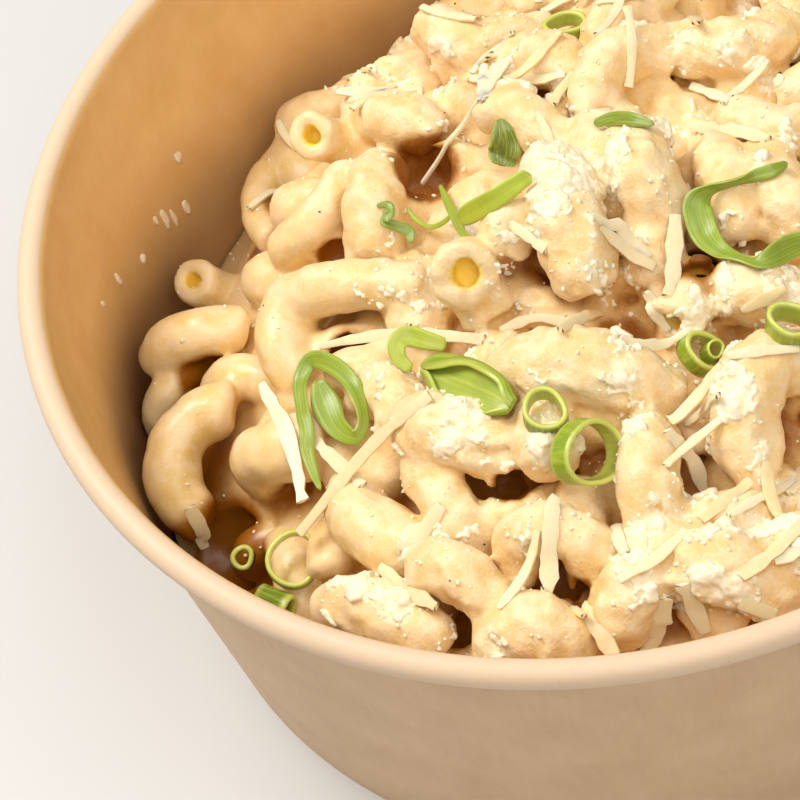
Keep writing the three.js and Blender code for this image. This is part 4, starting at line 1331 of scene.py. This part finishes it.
def make_heap(material):
    """The sauced macaroni as one body. Returns its points and triangles, and a tree to drop things on."""
    field, elbows = fill_field()
    heap = new_piece("macaroni", *field.mesh(), material)
    thin_out(heap, HEAP_TRIANGLES)
    points = vertex_points(heap)
    paint(heap, "tint", field.sample(field.tint, points))
    paint(heap, "sauce", np.clip(field.sample(field.sauce, points), 0, 1))
    paint(heap, "curd", curd_at(points))
    paint(heap, "paste", paste_at(points))
    # For painted shade in creases and painted light on ridges.
    paint(heap, "crease_shade_ridge_light", field.crowding(points))
    # The open ends' insides, for bare pasta with painted light.
    paint(heap, "bore", np.max([elbow.bore_light_at(points) for elbow in elbows if elbow.is_open], axis=0))
    # Painted shade in the gaps and hollows of the heap.
    paint(heap, "depth", np.maximum(field.depth(points), gap_at(points)))
    attach(heap, "macaroni_heap")
    triangles = face_corners(heap).reshape(-1, 3)
    return points, triangles, BVHTree.FromPolygons(points.tolist(), triangles.tolist())


def point_normals(points, triangles):
    """Directions out of the surface at its points."""
    corners = points[triangles]
    facing = np.cross(corners[:, 1] - corners[:, 0], corners[:, 2] - corners[:, 0])
    normals = np.zeros_like(points)
    for corner in range(3):
        np.add.at(normals, triangles[:, corner], facing)
    return normals / np.maximum(np.linalg.norm(normals, axis=1, keepdims=True), 1e-9)


def split_triangles(values, triangles):
    """Each triangle becomes four. Values holds a row for each point, and gets rows for the new points."""
    sides = np.concatenate([triangles[:, [0, 1]], triangles[:, [1, 2]], triangles[:, [2, 0]]])
    edges, index = np.unique(np.sort(sides, axis=1), axis=0, return_inverse=True)
    ab, bc, ca = len(values) + index.reshape(3, -1)
    a, b, c = triangles.T
    values = np.vstack([values, values[edges].mean(axis=1)])
    parts = [(a, ab, ca), (b, bc, ab), (c, ca, bc), (ab, bc, ca)]
    return values, np.concatenate([np.stack(part, axis=1) for part in parts])


def make_curd(points, triangles, material):
    """Crusts of melted grated cheese: a lumpy skin over the heap, with a ragged edge that dips into it."""
    values = np.hstack([points, point_normals(points, triangles)])
    triangles = triangles[curd_at(points)[triangles].max(axis=1) > CRUST_LEAST]
    for _ in range(CRUST_SPLITS):
        values, triangles = split_triangles(values, triangles)
    used, triangles = renumber(triangles)
    points, normals = values[used, :3], unit(values[used, 3:])
    lump = sum(
        share * value_noise(points, size, 60 + seed) for seed, (share, size) in enumerate(CRUST_LUMPS))
    cover = smoothstep(curd_at(points) + CRUST_RAGGED * lump, *CRUST_EDGE)
    points = points + ((CRUST_HEIGHT + CRUST_ROUGHNESS * lump) * cover - CRUST_SINK)[:, None] * normals
    used, triangles = renumber(triangles[cover[triangles].max(axis=1) > 0])
    piece = new_piece("cheese_curd", points[used], triangles, material)
    paint(piece, "lump", smoothstep(lump[used], -0.6, 0.6))
    thin_out(piece, CRUST_TRIANGLES)
    attach(piece)


def thin_out(piece, limit):
    """Collapses edges where the surface is flat, until the piece has no more triangles than the limit."""
    count = len(piece.data.polygons)
    if count <= limit:
        return
    modifier = piece.modifiers.new("thin", "DECIMATE")
    modifier.ratio = limit / count
    thinned = bpy.data.meshes.new_from_object(piece.evaluated_get(bpy.context.evaluated_depsgraph_get()))
    piece.modifiers.clear()
    piece.data = thinned


# ---------------------------------------------------------------- spring onion


def catmull_rom(rows, count):
    """Points along a smooth line through rows of numbers, with every column run alike."""
    rows = np.array(rows, float)
    padded = np.vstack([2 * rows[0] - rows[1], rows, 2 * rows[-1] - rows[-2]])
    result = []
    for place in np.linspace(0, len(rows) - 1, count):
        k = min(int(place), len(rows) - 2)
        t = place - k
        a, b, c, d = padded[k:k + 4]
        result.append(b + 0.5 * t * (c - a + t * (2 * a - 5 * b + 4 * c - d + t * (3 * (b - c) + d - a))))
    return np.array(result)


def unit(rows):
    """Rows of directions, each brought to length 1."""
    return rows / np.linalg.norm(rows, axis=-1, keepdims=True)


def onion_piece(name, points, faces, places, tone, flesh, material):
    """A spring onion mesh with its colours, and with each point's place on the leaf for the veins."""
    piece = new_piece(name, points, faces, material)
    paint(piece, "tone", np.broadcast_to(tone, len(points)))
    paint(piece, "flesh", flesh)
    layer = piece.data.uv_layers.new(name="leaf")
    layer.data.foreach_set("uv", places[face_corners(piece)].ravel())
    attach(piece, SHARED_NODES.get(name, name))


def section_places(count, around, stations):
    """How far along and around points are, from 0 to 1, where they come section by section."""
    return np.stack(np.divmod(np.arange(count), around), axis=1) / (stations, around)


def swept_piece(name, sections, tone, flesh, material):
    """A closed section swept along a leaf. Sections holds one row of stations for each of its points."""
    points = np.stack(sections, axis=1)
    stations, around = points.shape[:2]
    points = points.reshape(-1, 3)
    places = section_places(len(points), around, stations)[:, ::-1]
    flesh = np.tile(flesh, stations)
    onion_piece(name, points, tube_faces(stations, around), places, tone, flesh, material)


STRIP_SECTION = [
    (-1, 0), (-0.8, -0.8), (-0.4, -1), (0, -1), (0.4, -1), (0.8, -0.8),
    (1, 0), (0.8, 0.8), (0.4, 1), (0, 1), (-0.4, 1), (-0.8, 0.8),
]


def strip_frames(rows, stations):
    """Middle line, width, and the directions across and out of a strip, at evenly spread stations."""
    path = catmull_rom(rows, stations)
    centre, width, twist = path[:, :3], path[:, 3:4], np.radians(path[:, 4:])
    tangent = unit(np.gradient(centre, axis=0))
    flat = unit(np.cross(tangent, (0, 0, 1)))
    face = np.cross(flat, tangent)
    across = flat * np.cos(twist) + face * np.sin(twist)
    return centre, width, across, np.cross(across, tangent)


def make_strip(name, rows, tone, material):
    """A leaf strip: a thin closed section, hollowed like a gutter, swept along its middle line."""
    stations = STATIONS_A_ROW * len(rows)
    centre, width, across, normal = strip_frames(rows, stations)
    place = np.arange(stations)
    taper = np.minimum(1, np.minimum(place, place[::-1]) / STRIP_TIP_STATIONS + STRIP_TIP)[:, None]
    ripple = STRIP_RIPPLE * value_noise(centre, STRIP_RIPPLE_SIZE, seed=8)[:, None]
    sections = []
    for side, up in STRIP_SECTION:
        rise = STRIP_THICKNESS / 2 * up * taper + STRIP_GUTTER * width * (side ** 2 - 0.4) + ripple
        sections.append(centre + width / 2 * taper * side * across + rise * normal)
    side, up = np.array(STRIP_SECTION).T
    cut = smoothstep(np.abs(side), *STRIP_CUT)
    flesh = np.clip(cut * STRIP_CUT_FLESH + (up > 0) * STRIP_INSIDE_FLESH, 0, 1)
    swept_piece(name, sections, tone, flesh, material)


def make_pod(name, rows, tone, material):
    """A slice of hollow leaf lying on its side: a flattened tube that gapes along the top."""
    stations = STATIONS_A_ROW * len(rows)
    centre, width, across, normal = strip_frames(rows, stations)
    place = np.linspace(0, 1, stations)[:, None]
    gape = POD_GAPE * plateau(place, *POD_GAPE_PLACES) + POD_LEAST_GAPE
    uneven = POD_UNEVENNESS * value_noise(centre, POD_UNEVEN_SIZE, seed=12)[:, None]
    height = POD_FLATNESS * width / 2 * (1 + uneven)

    def along_section(part, inset):
        angle = gape + (2 * math.pi - 2 * gape) * part
        lean = POD_LEAN * width * np.cos(angle)
        side = np.maximum(width / 2 - inset, 0.1) * np.sin(angle) + lean
        rise = np.maximum(height - inset, 0.1) * np.cos(angle) + height / 2
        return centre + side * across + rise * normal

    parts = np.linspace(0, 1, POD_SIDES)
    sections = [along_section(-0.01, POD_WALL / 2)] + [along_section(part, 0) for part in parts]
    sections.append(along_section(1.01, POD_WALL / 2))
    sections += [along_section(part, POD_WALL) for part in parts[::-1]]
    lip = np.abs(np.arange(len(sections)) - POD_SIDES / 2 - 0.5) / (POD_SIDES / 2 + 0.5)
    flesh = np.where(lip > 1.05, POD_INSIDE_FLESH, np.where(lip > 0.86, POD_LIP_FLESH, 0))
    swept_piece(name, sections, tone, flesh, material)


RING_SECTION = [
    (1, -1), (1, -0.6), (1, 0), (1, 0.6), (1, 1), (0.5, 1.12),
    (0, 1), (0, 0.6), (0, 0), (0, -0.6), (0, -1), (0.5, -1.12),
]


def ring_points(centre, axis, radius, length, wall, seed):
    """A short tube with an uneven outline, as a ring of sections."""
    turn = np.linspace(0, 2 * math.pi, RING_STATIONS, endpoint=False)
    wobble = 1 + sum(size * np.sin(waves * turn + (waves - 1) * seed) for size, waves in RING_WOBBLE)
    tip = np.array(Vector(axis).normalized().to_track_quat("Z", "Y").to_matrix()).T
    points = []
    for out, up in RING_SECTION:
        away = (radius * wobble - wall * (1 - out))[:, None]
        level = length / 2 * up + RING_SKEW * length * np.sin(turn + seed)
        local = np.hstack([away * np.stack([np.cos(turn), np.sin(turn)], axis=1), level[:, None]])
        points.append(local @ tip + centre)
    return np.stack(points, axis=1).reshape(-1, 3)


def make_ring(name, row, tone, material):
    """A slice across a hollow leaf, some with a slice of the next leaf inside it."""
    centre, axis, radius, length, core = row
    seed = sum(map(ord, name)) % 17
    points = ring_points(np.array(centre), axis, radius, length, RING_WALL, seed)
    around = len(RING_SECTION)
    faces = loop_faces(RING_STATIONS, around)
    if core:
        inner_centre = np.array(centre) + (radius - RING_WALL / 2 - core, 0, 0)
        leaf = ring_points(inner_centre, axis, core, CORE_LEAF_LENGTH * length, RING_WALL / 2, seed + 3)
        faces = faces + loop_faces(RING_STATIONS, around, len(points))
        points = np.vstack([points, leaf])
    out, up = np.tile(np.array(RING_SECTION), (len(points) // around, 1)).T
    cut = smoothstep(np.abs(up), *RING_CUT)
    flesh = np.clip(RING_CUT_FLESH * cut + RING_INSIDE_FLESH * (1 - out), 0, 1)
    places = section_places(len(points), around, RING_STATIONS)
    onion_piece(name, points, faces, places, tone, flesh, material)


def make_scallions(material):
    """Every piece of spring onion, each in the place of its CAD node."""
    for name, row in RINGS.items():
        make_ring(name, row, RING_TONES.get(name, RING_TONE), material)
    for name, rows in STRIPS.items():
        make = make_pod if name == POD else make_strip
        make(name, rows, STRIP_TONES.get(name, STRIP_TONE), material)


# ---------------------------------------------------------------- cheese and pepper


def drop(tree, origin, direction):
    """Where a ray meets the heap, and the surface's normal there, or None."""
    point, normal, _, _ = tree.ray_cast(Vector(origin), Vector(direction))
    return None if point is None else (np.array(point), np.array(normal))


def rest_line(level):
    """Heights of a straight stick that rests on two bumps of a row of levels, either side of its middle."""
    count = len(level)
    place = np.arange(count)
    lines = []
    for i in range(count // 2):
        for j in range(count // 2, count):
            lines.append(level[i] + (level[j] - level[i]) * (place - i) / (j - i))
    return max(lines, key=np.mean)


def lay_shred(gather, hits, toward, width, tone):
    """A stiff shred over surface points: it bridges the dips, rests on the bumps, and droops a little."""
    points = np.array([point for point, _ in hits])
    level = points @ toward
    line = rest_line(level)
    height = np.maximum(line - np.minimum(SHRED_DROOP * (line - level), SHRED_MOST_DROOP), level)
    height[1:-1] = np.maximum(height[:-2] / 4 + height[1:-1] / 2 + height[2:] / 4, level[1:-1])
    points = points + (height - level + SHRED_THICKNESS / 3)[:, None] * toward
    normal = unit(np.mean([unit(face) for _, face in hits], axis=0) + toward)
    tangent = unit(np.gradient(points, axis=0))
    across = unit(np.cross(tangent, normal))
    up = np.cross(across, tangent)
    place = np.linspace(0, 1, len(points))
    ragged = SHRED_TIP_WIDTH + SHRED_RAGGEDNESS * value_noise(points, SHRED_RAGGED_SIZE, seed=31)
    half = (width / 2 * (ragged + SHRED_BELLY * np.sin(math.pi * place)))[:, None]
    thickness = SHRED_THICKNESS / 2
    rings = [points + half * side * across + thickness * lift * up for side, lift in SHRED_SECTION]
    faces = tube_faces(len(points), len(SHRED_SECTION))
    gather.add(np.stack(rings, axis=1).reshape(-1, 3), faces, tone)


def place_shreds(gather, tree, draw):
    """The shreds that the picture shows, laid on the heap under their pixels."""
    toward_camera = -np.array(camera_axes()[2])
    for pixels, width in SHRED_PIXELS:
        line = catmull_rom(pixels, SHRED_STATIONS)
        hits = [hit for hit in (drop(tree, CAMERA_AT, pixel_ray(u, v)) for u, v in line) if hit]
        if len(hits) >= SHRED_LEAST_HITS:
            lay_shred(gather, hits, toward_camera, width, next(draw))


def draw_shreds(gather, tree, draw):
    """Shreds at drawn places, dropped from above."""
    onion = [row[0] for row in RINGS.values()] + [row[:3] for rows in STRIPS.values() for row in rows]
    onion = np.array(onion)
    place = np.linspace(-0.5, 0.5, DRAWN_SHRED_STATIONS)
    for _ in range(DRAWN_SHREDS):
        radius, azimuth = SHRED_RADIUS * math.sqrt(next(draw)), 2 * math.pi * next(draw)
        heading = 2 * math.pi * next(draw)
        length, width = between(SHRED_LENGTH, next(draw)), between(SHRED_WIDTH, next(draw))
        tone = next(draw)
        x, y = radius * math.cos(azimuth), radius * math.sin(azimuth)
        bow = SHRED_BOW * (next(draw) - 0.5)
        if is_bare(x, y):
            continue
        ahead, aside = place * length, bow * length * (1 - 4 * place ** 2)
        at_x = x + ahead * math.cos(heading) - aside * math.sin(heading)
        at_y = y + ahead * math.sin(heading) + aside * math.cos(heading)
        hits = [drop(tree, (*spot, DROP_HEIGHT), (0, 0, -1)) for spot in zip(at_x, at_y)]
        if not all(hits):
            continue
        line = np.array([point for point, _ in hits])
        nearest = np.linalg.norm(line[:, None] - onion, axis=2).min()
        if nearest > SHRED_CLEARANCE and np.hypot(line[:, 0], line[:, 1]).max() < SHRED_REACH:
            lay_shred(gather, hits, np.array((0.0, 0.0, 1.0)), width, tone)


def is_bare(x, y):
    """The left of the heap, where the picture shows all the shreds that there are."""
    return x < BARE_LEFT[0] and y < BARE_LEFT[1]


def make_shreds(tree, material):
    """Shredded hard cheese, all in one piece."""
    gather = Gather()
    draw = seeded_draws(SHRED_SEED)
    place_shreds(gather, tree, draw)
    draw_shreds(gather, tree, draw)
    piece = gather.piece("cheese_shreds", material, "tone")
    mark_sharp(piece, SHRED_SHARP_ANGLE)
    attach(piece)


def scatter(tree, seed, count, sizes, weight_of, gather, squash):
    """Irregular grains at drawn places on the heap, kept as often as their place's weight."""
    rng = np.random.default_rng(seed)
    ball, faces = sphere(5, 4)
    radius = SCATTER_RADIUS * np.sqrt(rng.random(SCATTER_TRIES))
    azimuth = 2 * math.pi * rng.random(SCATTER_TRIES)
    height = np.full(SCATTER_TRIES, DROP_HEIGHT)
    places = np.stack([radius * np.cos(azimuth), radius * np.sin(azimuth), height], axis=1)
    hits = [hit for hit in (drop(tree, place, (0, 0, -1)) for place in places) if hit]
    weights = weight_of(np.array([point for point, _ in hits]))
    chosen = np.nonzero(rng.random(len(hits)) < weights)[0][:count]
    for index in chosen:
        point, normal = hits[index]
        size = between(sizes, rng.random() ** 2)
        uneven = 1 + GRAIN_UNEVENNESS * (rng.random((len(ball), 1)) - 0.5)
        shape = ball * uneven * (1, between(GRAIN_WIDTH, rng.random()), squash)
        turn = rng.normal(size=(2, 3))
        first = unit(turn[0] - GRAIN_LEVELLING * normal * turn[0].dot(normal))
        third = unit(normal + GRAIN_LEAN * turn[1])
        second = unit(np.cross(third, first))
        axes = np.array([np.cross(second, third), second, third]) * size
        middle = point + normal * size * squash * GRAIN_LIFT
        gather.add(middle + shape @ axes, faces, between(GRAIN_TONE, rng.random()))


def crumb_weight(points):
    """How likely a crumb is at points."""
    patch = np.maximum(value_noise(points, CRUMB_PATCH_SIZE, seed=77), 0)
    patch = patch * (points[:, 0] > CRUMB_PATCH_FROM_X)
    on_curd = smoothstep(curd_at(points), *CRUMB_CURD_EDGE)
    return CRUMB_ANYWHERE + CRUMB_IN_PATCH * patch + CRUMB_ON_CURD * on_curd


def make_crumbs(tree, material):
    """Crumbs of the curdled cheese."""
    gather = Gather()
    scatter(tree, CRUMB_SEED, CRUMBS, CRUMB_SIZE, crumb_weight, gather, CRUMB_SQUASH)
    attach(gather.piece("cheese_crumbs", material, "lump"))


def make_pepper(tree, material):
    """Specks of pepper, the same everywhere."""
    gather = Gather()
    scatter(tree, PEPPER_SEED, PEPPER, PEPPER_SIZE, lambda points: 1, gather, PEPPER_SQUASH)
    attach(gather.piece("pepper_flecks", material, smooth=False))


def make_floor(material):
    """The ground, which is stage and not part of the bowl."""
    corners = [(x, y, 0) for x, y in ((-1, -1), (1, -1), (1, 1), (-1, 1))]
    new_piece("floor", np.multiply(corners, FLOOR_HALF), [(0, 1, 2, 3)], material)


# ---------------------------------------------------------------- the scene

add_camera()
add_lights()
make_floor(floor_material())
make_bowl(kraft_material())
make_splashes(splash_material())
heap_points, heap_triangles, heap_tree = make_heap(macaroni_material())
curd = curd_material()
make_curd(heap_points, heap_triangles, curd)
make_scallions(scallion_material())
make_shreds(heap_tree, cheese_material())
make_crumbs(heap_tree, curd)
make_pepper(heap_tree, pepper_material())
